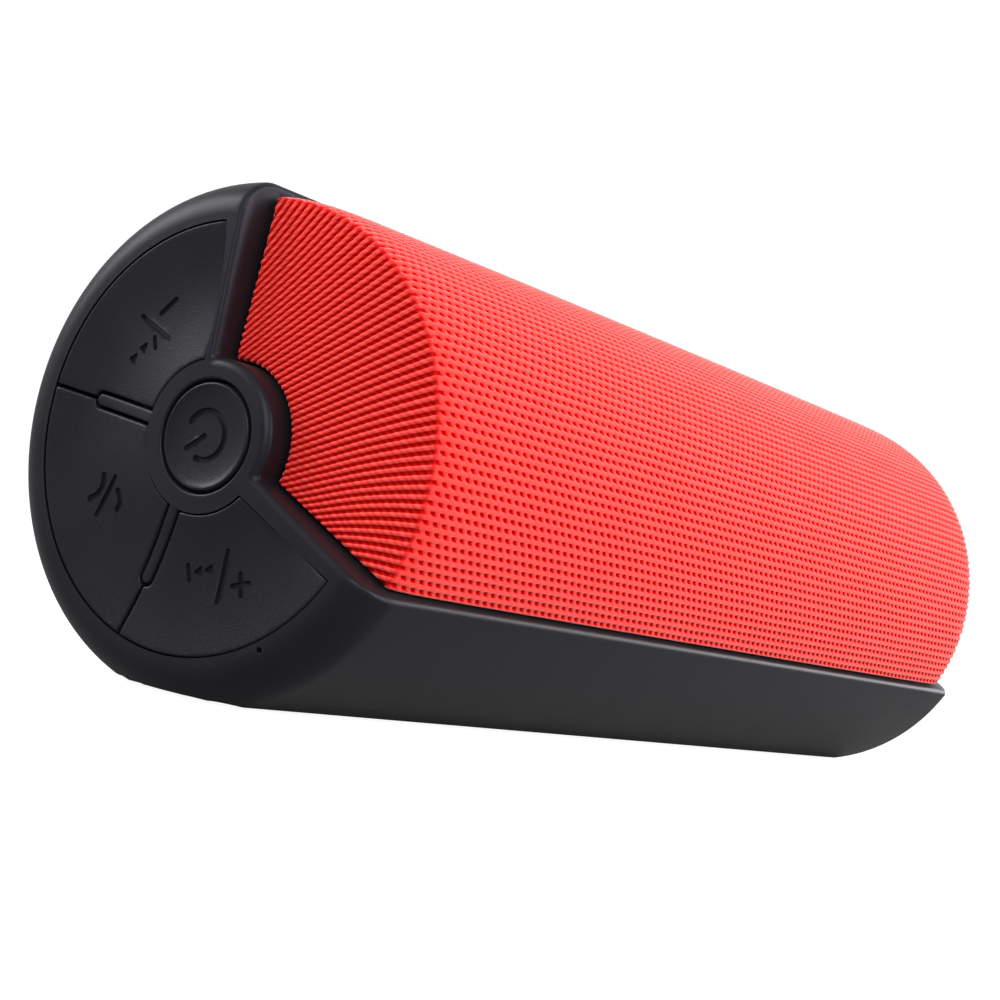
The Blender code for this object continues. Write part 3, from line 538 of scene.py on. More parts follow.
def knit(name):
    """Red ribbed knit. The mesh carries which rib and which stitch each point lies on. Its valleys,
    eyes, stitch gaps and the crease are darkened with painted shade.
    """
    paint = Paint(name, 0.82)
    weave = paint.node("Attribute", attribute_name="weave").outputs["Vector"]
    parts = paint.node("SeparateXYZ", {0: weave})
    rib, stitch, end = parts.outputs[0], parts.outputs[1], parts.outputs[2]
    turn = 2 * math.pi

    def wave(value, per_unit):
        """A cosine between 0 and 1 that peaks at whole numbers of value times per_unit."""
        swing = paint.maths("COSINE", paint.times(value, turn * per_unit))
        return paint.remap(swing, 0.0, 1.0, -1.0, 1.0)

    ridge = wave(rib, 1)
    beat = wave(stitch, 1)
    twice = wave(stitch, 2)
    valley = paint.maths("SUBTRACT", 1.0, ridge)
    narrow = paint.remap(valley, 0.0, 1.0, 0.4, 0.9)
    eye = paint.remap(valley, 0.0, 1.0, 0.32, 0.72)
    hole = paint.times(eye, paint.remap(beat, 0.0, 1.0, 0.28, 0.7))
    yarn = paint.noise(0.22)
    patches = paint.noise(9.0)
    red = paint.mix(paint.remap(patches, 0.0, 1.0, 0.3, 0.7), KNIT_RED, KNIT_LIGHT)
    red = paint.mix(paint.remap(yarn, 0.0, 0.3, 0.4, 0.8), red, KNIT_THREAD)
    # Painted shade: the valleys between the ribs are darkened towards a deeper red.
    flank = paint.mix(paint.times(narrow, 0.5), red, KNIT_VALLEY_SHADE)
    # Painted shade: the eyes between the ribs are darkened further.
    flank = paint.mix(paint.times(hole, 0.95, True), flank, KNIT_EYE_SHADE)
    # On the ends, painted shade darkens the gaps between stitch bulges and the valleys between the
    # ribs.
    under = paint.remap(valley, 0.0, 1.0, 0.3, 0.68)
    crown = paint.plus(paint.times(beat, 0.4), paint.times(twice, 0.6))
    gap = paint.remap(crown, 0.85, 0.0, 0.15, 0.8)
    face = paint.mix(paint.times(gap, 0.75), KNIT_CREST, KNIT_VALLEY_SHADE)
    under = paint.times(under, paint.remap(twice, 1.0, 0.88))
    face = paint.mix(under, face, KNIT_DEEP_SHADE)
    bare = paint.node("Mix", {0: end, 2: hole, 3: under}).outputs[0]
    paint.link(paint.remap(bare, 0.6, 0.0, 0.0, 0.7), "Sheen Weight")
    paint.link(paint.remap(bare, 0.2, 0.0, 0.0, 0.7), "Specular IOR Level")
    # Painted shade: a thin dark line where the knit folds over the crease.
    crease_shade = paint.times(end, paint.maths("SUBTRACT", 1.0, end))
    whole = paint.mix(end, flank, face)
    paint.link(paint.mix(paint.times(crease_shade, 2.6), whole, KNIT_VALLEY_SHADE), "Base Color")
    lean = paint.plus(stitch, paint.times(rib, 0.8))
    strands = paint.maths("SINE", paint.times(lean, turn * 3.0))
    fibre = paint.plus(paint.times(strands, 0.3), yarn)
    paint.link(paint.bump(paint.times(fibre, 0.3), 0.12, 0.6), "Normal")
    paint.link(paint.remap(yarn, 0.74, 0.92), "Roughness")
    paint.set({"Sheen Roughness": 0.4, "Sheen Tint": (1.0, 0.75, 0.7, 1.0)})
    return paint.material


def moulded(name, tone, roughness):
    """Plain moulded plastic with a fine grain and slight tone drift."""
    paint = Paint(name, roughness)
    clouds = paint.noise(11.0)
    grain = paint.noise(0.3, 2.0)
    tones = (clouds, scaled(tone, 0.8), scaled(tone, 1.25))
    return paint.finish(tones, (grain, roughness - 0.08, roughness + 0.1), (grain, 0.02, 0.5))


def rubber(name, tone, pattern):
    """Matte rubber or foam with open pores."""
    paint = Paint(name, 0.85)
    dust = paint.noise(4.0, 5.0)
    tones = (paint.remap(dust, 0.0, 0.5), tone, scaled(tone, 2.2))
    return paint.finish(tones, (dust, 0.75, 0.95), (paint.cells(pattern), 0.06, 0.6))


def brushed(name, tone, roughness, stretch):
    """Metal with fine marks along one direction."""
    paint = Paint(name, roughness, 1.0)
    marks = paint.noise(0.25, 4.0, stretch)
    tones = (paint.noise(5.0, 4.0), scaled(tone, 0.75), tone)
    return paint.finish(tones, (marks, roughness - 0.1, roughness + 0.16), (marks, 0.01, 0.5))


def circuit_board(name):
    """Green solder mask over tracks, with tinned pads."""
    paint = Paint(name, 0.35)
    plane = paint.stretched([0.45] * 3)
    tracks = paint.node("TexBrick", {"Vector": plane, "Scale": 1.0, "Mortar Size": 0.06})
    line = tracks.outputs["Fac"]
    mask = paint.mix(line, (0.012, 0.09, 0.035), (0.035, 0.2, 0.08))
    pads = paint.remap(paint.cells(1.7), 1.0, 0.0, 0.12, 0.16)
    paint.link(paint.mix(pads, mask, (0.6, 0.58, 0.5)), "Base Color")
    paint.link(paint.times(pads, 0.8), "Metallic")
    paint.link(paint.bump(line, 0.03, 0.6), "Normal")
    return paint.material


def winding(name):
    """Enamelled copper wire wound round a former."""
    paint = Paint(name, 0.3, 0.9)
    wave = paint.node("TexWave", {"Vector": paint.stretched([4.0, 4.0, 4.0]), "Scale": 1.0})
    turns = wave.outputs["Fac"]
    return paint.finish((turns, (0.45, 0.17, 0.07), (0.8, 0.38, 0.2)), None, (turns, 0.05, 0.7))


def pressed_paper(name):
    """Black pressed-paper cone with visible fibres."""
    paint = Paint(name, 0.75)
    fibres = paint.noise(0.5, 5.0, (1.0, 3.0, 1.0), 0.7)
    tones = (fibres, (0.022, 0.022, 0.024), (0.07, 0.068, 0.066))
    return paint.finish(tones, (fibres, 0.65, 0.9), (fibres, 0.05, 0.7))


def shrink_wrap(name):
    """Blue shrink sleeve, slightly wrinkled and glossy."""
    paint = Paint(name, 0.25)
    folds = paint.noise(3.0, 2.0, (0.3, 1.0, 1.0))
    tones = (folds, (0.03, 0.15, 0.4), (0.06, 0.27, 0.62))
    return paint.finish(tones, (folds, 0.18, 0.36), (folds, 0.1, 0.5))


KNIT_RED = (0.86, 0.026, 0.022)
KNIT_LIGHT = (0.92, 0.034, 0.028)
KNIT_THREAD = (0.95, 0.065, 0.055)
KNIT_CREST = (1.0, 0.075, 0.06)
# The next three reds are painted shade for the knit's valleys, eyes and deep gaps.
KNIT_VALLEY_SHADE = (0.55, 0.008, 0.008)
KNIT_EYE_SHADE = (0.38, 0.0, 0.0)
KNIT_DEEP_SHADE = (0.33, 0.0, 0.0)

SHELL_BLACK = (0.0045, 0.0043, 0.0062)
SHELL_LIGHT = (0.0068, 0.0065, 0.0088)
KEY_BLACK = (0.0048, 0.0046, 0.0066)
KEY_LIGHT = (0.0072, 0.0069, 0.0092)
# Icon floors: a darker tone that is painted shade in the sunk strokes.
ICON_SHADE = (0.004, 0.004, 0.005)
ICON_SHADE_PALE = (0.006, 0.006, 0.007)

FINISHES = {
    "soft_black": soft_touch("soft_black_look", SHELL_BLACK, SHELL_LIGHT, 0.40, 0.16),
    "key_rubber": soft_touch("key_rubber_look", KEY_BLACK, KEY_LIGHT, 0.38, 0.2),
    # The icon floors' finish: rougher, and its darker tone is painted shade.
    "icon_black": soft_touch("icon_shade_look", ICON_SHADE, ICON_SHADE_PALE, 0.7, 0.3),
    "red_knit": knit("red_knit_look"),
    "frame_plastic": moulded("frame_plastic_look", (0.05, 0.05, 0.055), 0.5),
    "foot_rubber": rubber("foot_rubber_look", (0.014, 0.014, 0.015), 0.4),
    "board_green": circuit_board("board_green_look"),
    "steel": brushed("steel_look", (0.62, 0.62, 0.64), 0.3, (1.0, 6.0, 1.0)),
    "magnet_grey": brushed("magnet_grey_look", (0.14, 0.14, 0.15), 0.45, (3.0, 3.0, 1.0)),
    "copper": winding("copper_look"),
    "paper_cone": pressed_paper("paper_cone_look"),
    "foam_rubber": rubber("foam_rubber_look", (0.022, 0.022, 0.022), 0.35),
    "cell_wrap": shrink_wrap("cell_wrap_look"),
    "chip_black": moulded("chip_black_look", (0.02, 0.02, 0.022), 0.35),
}


def install(piece, body, node=None):
    """Lets a piece ride on a body, in place of a CAD node if one is named."""
    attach(piece, body)
    if node:
        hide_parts(node)


# ---------------------------------------------------------------- housing


def corner_centre(direction, offset, reach):
    """Centre of a corner's rounding: offset from a ray, reach away from the axis."""
    return beside(direction, offset, math.sqrt(reach**2 - offset**2))


def housing_section(rim, flat, upper, lower, hub, lip, cove):
    """Outline of the black part across the axis: hub, upper wall, shell, lower wall.

    upper and lower are the walls' offsets from their rays; rim and flat bound the shell."""
    low_cove = corner_centre(LOWER_ANGLE, lower + cove, hub + cove)
    high_cove = corner_centre(UPPER_ANGLE, upper - cove, hub + cove)
    high_lip = corner_centre(UPPER_ANGLE, upper + lip, rim - lip)
    low_lip = corner_centre(LOWER_ANGLE, lower - lip, rim - lip)
    hub_start = angle_of(low_cove)
    hub_stop = angle_of(high_cove)
    start = angle_of(high_lip)
    stop = angle_of(low_lip)
    points = arc(cove, LOWER_ANGLE - 90, hub_start - 180, 5, low_cove)
    points += arc(hub, hub_start, hub_stop, 36)[1:-1]
    points += arc(cove, hub_stop + 180, UPPER_ANGLE + 90, 5, high_cove)
    points += arc(lip, UPPER_ANGLE - 90, start, 8, high_lip)
    half = math.degrees(math.acos(FLAT_DEPTH / SHELL_R))
    angles = spread(start, 270.0 - half, 72)[1:-1]
    angles += spread(270.0 - half, 270.0 + half, 6)
    angles += spread(270.0 + half, stop + 360.0, 18)[1:-1]
    points += [bounded(rim, flat, angle) for angle in angles]
    points += arc(lip, stop, LOWER_ANGLE + 90, 8, low_lip)
    return points


def bounded(radius, flat, angle):
    """A point on a circle with a flat underside."""
    down = max(-math.sin(math.radians(angle)), 1e-6)
    return polar(min(radius, flat / down), angle)


def outer_section(depth, flat_r, round_depth):
    """The housing's outline at a depth below an end's face, all its edges rounded."""
    share = 1 - min(depth, round_depth) / round_depth
    rim = flat_r + (SHELL_R - flat_r) * math.sqrt(1 - share**2)
    wide, tall = UPPER_EDGE
    upper = UPPER_OFFSET + round_inset(wide, depth * wide / tall)
    lower = LOWER_OFFSET - round_inset(LOWER_EDGE, depth)
    hub = HUB_R - round_inset(HUB_EDGE, depth)
    return housing_section(rim, FLAT_DEPTH, upper, lower, hub, LIP, COVE)


def inner_section():
    """The hollow behind an end plate."""
    rim = SHELL_R - WALL
    upper = UPPER_OFFSET + SKIRT
    lower = LOWER_OFFSET - SKIRT
    hub = HUB_R - SKIRT
    return housing_section(rim, FLAT_DEPTH - WALL, upper, lower, hub, INNER_CORNER, INNER_CORNER)


def bore_section():
    """The hollow inside the shell, right round the axis."""
    return [bounded(SHELL_R - WALL, FLAT_DEPTH - WALL, angle) for angle in spread(0.0, 360.0, 120)[:-1]]


def solid(rows, name="tool"):
    """A closed object through matching rows of world points."""
    skin = Skin()
    numbers = skin.stack(rows)
    skin.fill(numbers[0][::-1])
    skin.fill(numbers[-1])
    return skin.build(name)


def level_rows(outline, levels, place):
    """Rows for solid: the outline grown at each (depth, growth) level, placed by place(a, b, depth)."""
    rows = []
    for depth, growth in levels:
        loop = offset_loop(outline, growth) if growth else outline
        rows.append([place(a, b, depth) for a, b in loop])
    return rows


def end_solid(outline, levels, end=-1):
    """A closed object from an outline and (depth, growth) levels below an end's face."""
    return solid(level_rows(outline, levels, lambda f, u, depth: at_end(f, u, depth, end)))


def flared(depth, edge=GROOVE_EDGE):
    """Levels of a cutter that also rounds the edge it leaves on the face."""
    levels = [(edge * drop, edge * inset) for inset, drop in quarter(4)]
    return [(-0.6, edge), *levels, (depth, 0.0)]


def bar_outline(inset):
    """Outline of a bar in (along, side): a strip out of the hub with a round end."""
    half = BAR_HALF - GROOVE_HALF - inset
    runs = spread(BAR_ROOT_R, BAR_END_R, 24)
    lower = [(along, -half) for along in runs]
    upper = [(along, half) for along in reversed(runs)]
    return lower + arc(half, -90.0, 90.0, 12, (BAR_END_R, 0.0))[1:-1] + upper


def make_bar(separator, name):
    """One of the fixed bars between the keys; its top follows their dish."""

    def place(along, side, depth):
        forward, up = beside(separator, side, along)
        return at_end(forward, up, depth)

    def top(along, side, drop=0.0):
        return place(along, side, BAR_SINK + dish(along) + drop)

    skin = Skin()
    rows = []
    for inset, drop in quarter(5):
        rows.append([top(*point, BAR_EDGE * drop) for point in bar_outline(BAR_EDGE * inset)])
    rows.append([place(*point, END_PLATE) for point in bar_outline(0.0)])
    skin.fill(skin.stack(rows)[-1])
    skin.patch(*flat_patch(bar_outline(BAR_EDGE), (), (), 0.5), top)
    install(skin.build(name), "body")


def cut(target, *tools):
    """Cuts closed objects from target and removes them."""
    for tool in tools:
        modifier = target.modifiers.new("cut", "BOOLEAN")
        modifier.operation = "DIFFERENCE"
        modifier.solver = "EXACT"
        modifier.object = tool
        graph = bpy.context.evaluated_depsgraph_get()
        mesh = bpy.data.meshes.new_from_object(target.evaluated_get(graph))
        target.modifiers.clear()
        old = target.data
        target.data = mesh
        bpy.data.meshes.remove(old)
        bpy.data.objects.remove(tool)
    return target


def key_upper(radius):
    bow = KEY_UPPER_BOW * ((radius - BOW_FROM_R) / BOW_LENGTH) ** 2
    return wall_angle(UPPER_ANGLE, KEY_UPPER_OFFSET + bow, radius)


def key_lower(radius):
    return 360.0 + wall_angle(KEY_LOWER_ANGLE, -KEY_LOWER_OFFSET, radius)


def key_field():
    """Outline of the opening for the three keys and the bars between them."""

    def first(radius):
        return key_upper(radius) - math.degrees(GROOVE_HALF / radius)

    def last(radius):
        return key_lower(radius) + math.degrees(GROOVE_HALF / radius)

    inner = KEY_IN_R - GROOVE_HALF
    outer = KEY_OUT_R + GROOVE_HALF
    radii = spread(inner, outer, 14)[1:-1]
    outline = arc(inner, first(inner), last(inner), 60)
    outline += [polar(r, last(r)) for r in radii]
    outline += arc(outer, last(outer), first(outer), 90)
    outline += [polar(r, first(r)) for r in reversed(radii)]
    return outline


def groove_ring(outline, end):
    """A cutter for a shallow round-bottomed groove along an outline."""
    half, depth = MARK_HALF, MARK_DEPTH
    profile = [(-0.4, half), (0.0, half), (depth * 0.7, half * 0.7), (depth, 0.0)]
    profile += [(depth * 0.7, -half * 0.7), (0.0, -half), (-0.4, -half)]
    skin = Skin()
    rows = level_rows(outline, profile, lambda f, u, level: at_end(f, u, level, end))
    numbers = skin.stack(rows)
    skin.strip(numbers[-1], numbers[0])
    return skin.build("tool")


def rounded_box(half_x, low, high, corner, steps=6):
    """A rounded rectangle in (x, up), counter-clockwise."""
    centres = [(half_x - corner, high - corner), (corner - half_x, high - corner)]
    centres += [(corner - half_x, low + corner), (half_x - corner, low + corner)]
    outline = []
    for number, centre in enumerate(centres):
        outline += arc(corner, 90.0 * number, 90.0 * (number + 1), steps, centre)
    return outline


def stadium(half, radius, steps=14):
    right = arc(radius, -90.0, 90.0, steps, (half, 0.0))
    left = arc(radius, 90.0, 270.0, steps, (-half, 0.0))
    return right + left


def on_back(x, up, depth):
    """A place on the back of the shell, depth below its surface."""
    return world(x, depth - math.sqrt(SHELL_R**2 - up**2), up)


def under(x, forward, depth):
    """A place on the flat underside, depth above it."""
    return world(x, forward, depth - FLAT_DEPTH)


def window_cutter():
    """The port window with rounded corners and a softened outer edge."""
    half, corner = FLAP_HALF + FLAP_GAP, FLAP_CORNER + FLAP_GAP
    outline = rounded_box(half, FLAP_BOTTOM - FLAP_GAP, FLAP_TOP + FLAP_GAP, corner)
    return solid(level_rows(outline, flared(WALL + 3.0, WINDOW_EDGE), on_back))


def foot_cutter():
    outline = stadium(FOOT_HALF - FOOT_R, FOOT_R + FOOT_GAP)
    return solid(level_rows(outline, flared(FOOT_POCKET, POCKET_EDGE), under))


def flat_faces_flat(obj):
    """Shades plain flat faces flat and all curved ones smooth, so that broad flats stay true."""
    for face in obj.data.polygons:
        n = face.normal
        face.use_smooth = not (abs(n.x) > 0.99999 or n.z < -0.99999)


def shell_rows():
    """Outlines of the housing from the control end to the plain end."""
    rows = []
    beside_window = HALF - FLAP_HALF - FLAP_GAP - 1.0
    for end, (flat_r, round_depth) in ((-1, CONTROL_RIM), (1, PLAIN_RIM)):
        levels = [round_depth * share**2 for share in spread(0.0, 1.0, RIM_ROWS)]
        levels += [*BODY_ROWS, beside_window, HALF]
        found = [end_row(outer_section(depth, flat_r, round_depth), depth, end) for depth in levels]
        rows += found if end < 0 else found[-2::-1]
    return rows


def make_housing():
    housing = solid(shell_rows(), "housing_shell")
    bore = end_solid(bore_section(), [(SKIRT_DEPTH, 0.0), (LENGTH - SKIRT_DEPTH, 0.0)])
    hollow = [(END_PLATE, 0.0), (SKIRT_DEPTH + 0.5, 0.0)]
    cut(housing, bore, *[end_solid(inner_section(), hollow, end) for end in (-1, 1)])
    through = END_PLATE + 1.0
    field = key_field()
    pinhole = circle(PINHOLE_SIZE, 20, polar(PINHOLE_R, PINHOLE_ANGLE))
    cut(housing, end_solid(field, flared(through)))
    cut(housing, end_solid(circle(POWER_GROOVE_R + GROOVE_HALF, 96), flared(through)))
    cut(housing, end_solid(pinhole, flared(PINHOLE_DEPTH, PINHOLE_EDGE)))
    cut(housing, window_cutter(), foot_cutter())
    cut(housing, groove_ring(field, 1), groove_ring(circle(POWER_GROOVE_R, 96), 1))
    flat_faces_flat(housing)
    install(housing, "body", "housing")


# ---------------------------------------------------------------- keys and their icons


def dish(radius):
    share = (radius - KEY_IN_R) / (KEY_OUT_R - KEY_IN_R)
    return KEY_DISH * math.sin(math.pi * min(max(share, 0.0), 1.0))


def bar_side(separator, sign, margin, inner, outer):
    """One long side of a key beside a bar, walking out from the hub, round the bar's end."""
    full = BAR_HALF + margin
    last = math.degrees(math.acos(margin / full))
    local = [(along, full) for along in spread(inner, BAR_END_R, 10)[:-1]]
    for turn in spread(0.0, last, 8):
        half, past = polar(full, turn)
        local.append((BAR_END_R + past, half))
    local += [(along, margin) for along in spread(local[-1][0], outer, 8)[1:]]
    return [beside(separator, sign * side, along) for along, side in local]


def wall_side(angle_at, sign, margin, inner, outer):
    """The long side of a key beside the V, walking out from the hub."""
    radii = spread(inner, outer, 26)
    return [polar(r, angle_at(r) + sign * math.degrees(margin / r)) for r in radii]


def key_loop(index, margin, inner, outer):
    """A key's outline, counter-clockwise from its first side's inner corner."""
    first, second = SEPARATORS
    if index == 0:
        low = wall_side(key_upper, 1, margin, inner, outer)
        high = bar_side(first, -1, margin, inner, outer)
    elif index == 1:
        low = bar_side(first, 1, margin, inner, outer)
        high = bar_side(second, -1, margin, inner, outer)
    else:
        low = bar_side(second, 1, margin, inner, outer)
        high = wall_side(key_lower, -1, margin, inner, outer)

    def between(radius, a, b, steps):
        return arc(radius, angle_of(a) % 360.0, angle_of(b) % 360.0, steps)[1:-1]

    outer_arc = between(outer, low[-1], high[-1], 40)
    inner_arc = between(inner, high[0], low[0], 16)
    return low + outer_arc + high[::-1] + inner_arc


def top_loop(index, inset):
    """A key's outline at its top edge, drawn in by inset."""
    margin = GROOVE_HALF + inset
    return key_loop(index, margin, KEY_IN_R + margin, KEY_OUT_R - margin)


def capsule(start, stop, width=STROKE):
    """A straight stroke with round ends."""
    angle = angle_of((stop[0] - start[0], stop[1] - start[1]))
    first = arc(width / 2, angle - 90, angle + 90, 7, stop)
    return first + arc(width / 2, angle + 90, angle + 270, 7, start)


def bent_stroke(points, width=STROKE):
    """A stroke along several points, with round ends."""
    p = np.asarray(points, float)
    step = np.gradient(p, axis=0)
    step /= np.linalg.norm(step, axis=1, keepdims=True)
    side = np.column_stack([-step[:, 1], step[:, 0]]) * width / 2
    last = angle_of(step[-1])
    first = angle_of(step[0])
    right = [tuple(q) for q in (p - side)[1:-1]]
    left = [tuple(q) for q in (p + side)[1:-1]][::-1]
    end = arc(width / 2, last - 90, last + 90, 7, tuple(p[-1]))
    return right + end + left + arc(width / 2, first + 90, first + 270, 7, tuple(p[0]))


def triangle(centre, angle, size=1.12, blunt=0.16):
    """A small solid arrowhead pointing along angle, its corners a little blunt."""
    corners = np.array([polar(size, angle + turn) for turn in (0, 128, -128)]) + centre
    points = []
    for i in range(3):
        for other in (i - 1, i - 2):
            points.append(tuple(corners[i] * (1 - blunt) + corners[other] * blunt))
    return points


def plus_sign(centre, tilt, reach=1.45, half=0.4):
    """A cross of four arms with round ends."""
    points = []
    for angle in spread(tilt, tilt + 270.0, 3):
        end = polar(reach, angle)
        points += arc(half, angle - 90, angle + 90, 4, (centre[0] + end[0], centre[1] + end[1]))
        corner = polar(half * math.sqrt(2), angle + 45)
        points.append((centre[0] + corner[0], centre[1] + corner[1]))
    return points


def volume_down_icon():
    return [
        capsule((-10.8, 17.8), (-13.0, 15.65), 0.85),
        capsule((-16.3, 14.9), (-10.55, 12.4)),
        capsule((-13.3, 12.2), (-12.7, 10.8), 0.78),
        triangle((-14.85, 10.65), 60.0),
        triangle((-16.35, 9.0), 60.0),
    ]


def call_play_icon():
    handset = [(-17.5, -7.65), (-17.3, -8.4), (-17.35, -9.2), (-17.7, -10.0), (-18.3, -10.7)]
    handset.append((-19.2, -11.2))
    return [
        bent_stroke(handset, 0.95),
        capsule((-15.25, -7.6), (-17.4, -13.2)),
        bent_stroke([(-14.3, -9.4), (-13.65, -10.2), (-13.45, -11.0), (-13.75, -11.9)], 0.95),
    ]


def volume_up_icon():
    return [
        capsule((1.0, -17.35), (1.65, -19.2), 0.76),
        triangle((3.0, -17.85), 195.0),
        triangle((4.75, -17.35), 195.0),
        capsule((7.4, -14.35), (7.15, -21.3)),
        plus_sign((10.55, -18.35), 17.0),
    ]


def power_icon():
    centre = (-0.5, 0.1)
    tip = arc(3.5, 216.0, 216.0, 1, centre)[0]
    return [bent_stroke(arc(3.35, 152.0, -106.0, 40, centre), 0.92), capsule((-0.7, 0.0), tip, 0.86)]


ICONS = {
    "key_volume_down": volume_down_icon(),
    "key_call_play": call_play_icon(),
    "key_volume_up": volume_up_icon(),
}


def counter_clockwise(loop):
    p = np.asarray(loop, float)
    q = np.roll(p, -1, axis=0)
    area = (p[:, 0] * q[:, 1] - q[:, 0] * p[:, 1]).sum()
    return loop if area > 0 else loop[::-1]


def engraved_top(skin, outline, icons, depth_at, spacing):
    """The top of a key or button: a patch whose icons are sunk below its surface."""
    icons = [counter_clockwise(icon) for icon in icons]
    floors = [offset_loop(icon, -ICON_SLOPE) for icon in icons]
    walls = [offset_loop(icon, -ICON_SLOPE / 2) for icon in icons]
    flat, faces = flat_patch(outline, (), icons + floors, spacing)
    sunk = np.zeros(len(flat), bool)
    for wall in walls:
        sunk |= inside(flat, wall)
    numbers = []
    for (f, u), low in zip(flat, sunk):
        depth = depth_at(math.hypot(f, u)) + (ICON_DEPTH if low else 0.0)
        numbers += skin.add([at_end(f, u, depth)])
    skin.faces.extend(tuple(numbers[i] for i in face) for face in faces)


def make_key(index, name):
    skin = Skin()
    rows = []
    for inset, drop in quarter(5):
        loop = top_loop(index, KEY_EDGE * inset)
        rows.append([at_end(f, u, dish(math.hypot(f, u)) + KEY_EDGE * drop) for f, u in loop])
    flange = key_loop(index, FLANGE_MARGIN, FLANGE_IN_R, FLANGE_OUT_R)
    web = key_loop(index, WEB_MARGIN, WEB_IN_R, WEB_OUT_R)
    below = [(top_loop(index, 0.0), KEY_BODY), (web, KEY_BODY), (web, FLANGE_TOP)]
    below += [(flange, FLANGE_TOP), (flange, FLANGE_BOTTOM)]
    rows += [end_row(loop, depth) for loop, depth in below]
    skin.stack(rows)
    engraved_top(skin, top_loop(index, KEY_EDGE), ICONS[name], dish, 0.55)
    stem = circle(STEM_R, 28, polar(STEM_AT_R, KEYS[name]))
    skin.patch(*flat_patch(flange, (stem,), (), 4.0), lambda f, u: at_end(f, u, FLANGE_BOTTOM))
    skin.fill(skin.stack([end_row(stem, FLANGE_BOTTOM), end_row(stem, STEM_END)])[-1])
    key = skin.build(f"{name}_cap", "key_rubber")
    shade_icon_floors(key, ICONS[name], dish)
    install(key, name, name)


def shade_icon_floors(obj, icons, depth_at):
    """Gives the sunk floors of the icons a rougher finish with a darker tone; the darker tone is
    painted shade.
    """
    obj.data.materials.append(FINISHES["icon_black"])
    centres = np.array([face.center for face in obj.data.polygons])
    places = np.column_stack([-centres[:, 1] / MM, centres[:, 2] / MM - AXIS_Z])
    depth = centres[:, 0] / MM + HALF
    surface = np.array([depth_at(r) for r in np.hypot(places[:, 0], places[:, 1])])
    near = (depth > surface + 0.05) & (depth < surface + ICON_DEPTH + 0.1)
    for icon in icons:
        within = inside(places, icon) & near
        for i in np.nonzero(within)[0]:
            obj.data.polygons[int(i)].material_index = 1


def power_dish(radius):
    """Depth of the power button's top: a thin raised rim round a shallow dish."""
    bowl = POWER_BOWL * (1 - min(radius / POWER_BOWL_R, 1.0) ** 3)
    share = (POWER_RIM_R - radius) / (POWER_RIM_R - POWER_BOWL_R)
    return bowl + POWER_STEP * min(max(share, 0.0), 1.0)


def make_power_button():
    skin = Skin()
    side = POWER_GROOVE_R - GROOVE_HALF
    rim = power_dish(side)
    levels = [(side - POWER_EDGE * inset, rim + POWER_EDGE * drop) for inset, drop in quarter(6)]
    levels += [(side, FLANGE_TOP), (POWER_FLANGE_R, FLANGE_TOP), (POWER_FLANGE_R, FLANGE_BOTTOM)]
    levels += [(STEM_R, FLANGE_BOTTOM), (STEM_R, STEM_END)]
    skin.fill(skin.stack([end_row(circle(radius, 96), depth) for radius, depth in levels])[-1])
    engraved_top(skin, circle(side - POWER_EDGE, 96), power_icon(), power_dish, 0.4)
    button = skin.build("power_button_cap", "key_rubber")
    shade_icon_floors(button, power_icon(), power_dish)
    install(button, "power_button", "power_button")


# ---------------------------------------------------------------- knitted cover


def rib_side(swing, along):
    """Where a rib that meets the crease at angle swing lies, along below the fan's middle line."""
    t = np.radians(swing)
    along_crease = CREASE_R * np.cos(t)
    outer = np.tan(np.radians(FAN_OUTER[0] + FAN_OUTER[1] * swing))
    inner = np.tan(np.radians(FAN_INNER[0] + FAN_INNER[1] * swing))
    run = np.maximum(along_crease - along, 0.0)
    bent = np.minimum(run, FAN_REACH)
    drop = inner * run + (outer - inner) * (bent - bent**2 / (2 * FAN_REACH))
    return CREASE_R * np.sin(t) - drop


def fan(forward, up):
    """On the end faces: which rib a point lies on, as its angle at the crease, and its run inwards."""
    c, s = polar(1.0, FAN_CENTRE)
    along = forward * c + up * s
    side = up * c - forward * s
    low = np.full(along.shape, -89.0)
    high = np.full(along.shape, 89.0)
    for _ in range(40):
        middle = (low + high) / 2
        under = rib_side(middle, along) < side
        low = np.where(under, middle, low)
        high = np.where(under, high, middle)
    swing = (low + high) / 2
    run = CREASE_R * np.cos(np.radians(swing)) - along
    return swing + FAN_CENTRE, run


def cover_profile():
    """(depth, radius) from the hub to past the crease, closely spaced."""
    hub = HUB_R + COVER_GAP
    slope = [(HUB_DEPTH + deeper, hub + out) for deeper, out in HUB_TUCK]
    outer = COVER_R - CREASE_SWELL - CREASE_ROUND
    radii = spread(hub + HUB_MARGIN, outer, END_ROWS)
    slope += zip(spread(HUB_DEPTH, CREASE_DEPTH, END_ROWS), radii)
    for turn in spread(0.0, 90.0, 8)[1:]:
        along, out = polar(CREASE_ROUND, turn)
        slope.append((CREASE_DEPTH + CREASE_ROUND - along, outer + out))
    return slope


def cover_rows():
    """Depth and radius of every row of the knit, and the depths where its flank starts and stops."""
    near = cover_profile()
    start = near[-1][0]
    stop = LENGTH - start
    middle = []
    for along in spread(start, stop, round((stop - start) / STITCH_PITCH * STITCH_ROWS))[1:-1]:
        near_end = min(along - start, stop - along)
        middle.append((along, COVER_R - CREASE_SWELL * math.exp(-3.0 * near_end / SWELL_LENGTH)))
    profile = near + middle + [(LENGTH - depth, r) for depth, r in reversed(near)]
    depth = np.array([row[0] for row in profile])
    radius = np.array([row[1] for row in profile])
    barrel = BARREL * np.sin(np.pi * np.clip((depth - start) / (stop - start), 0, 1)) ** 0.6
    barrel[(depth < start) | (depth > stop)] = 0.0
    return depth, radius + barrel, start, stop


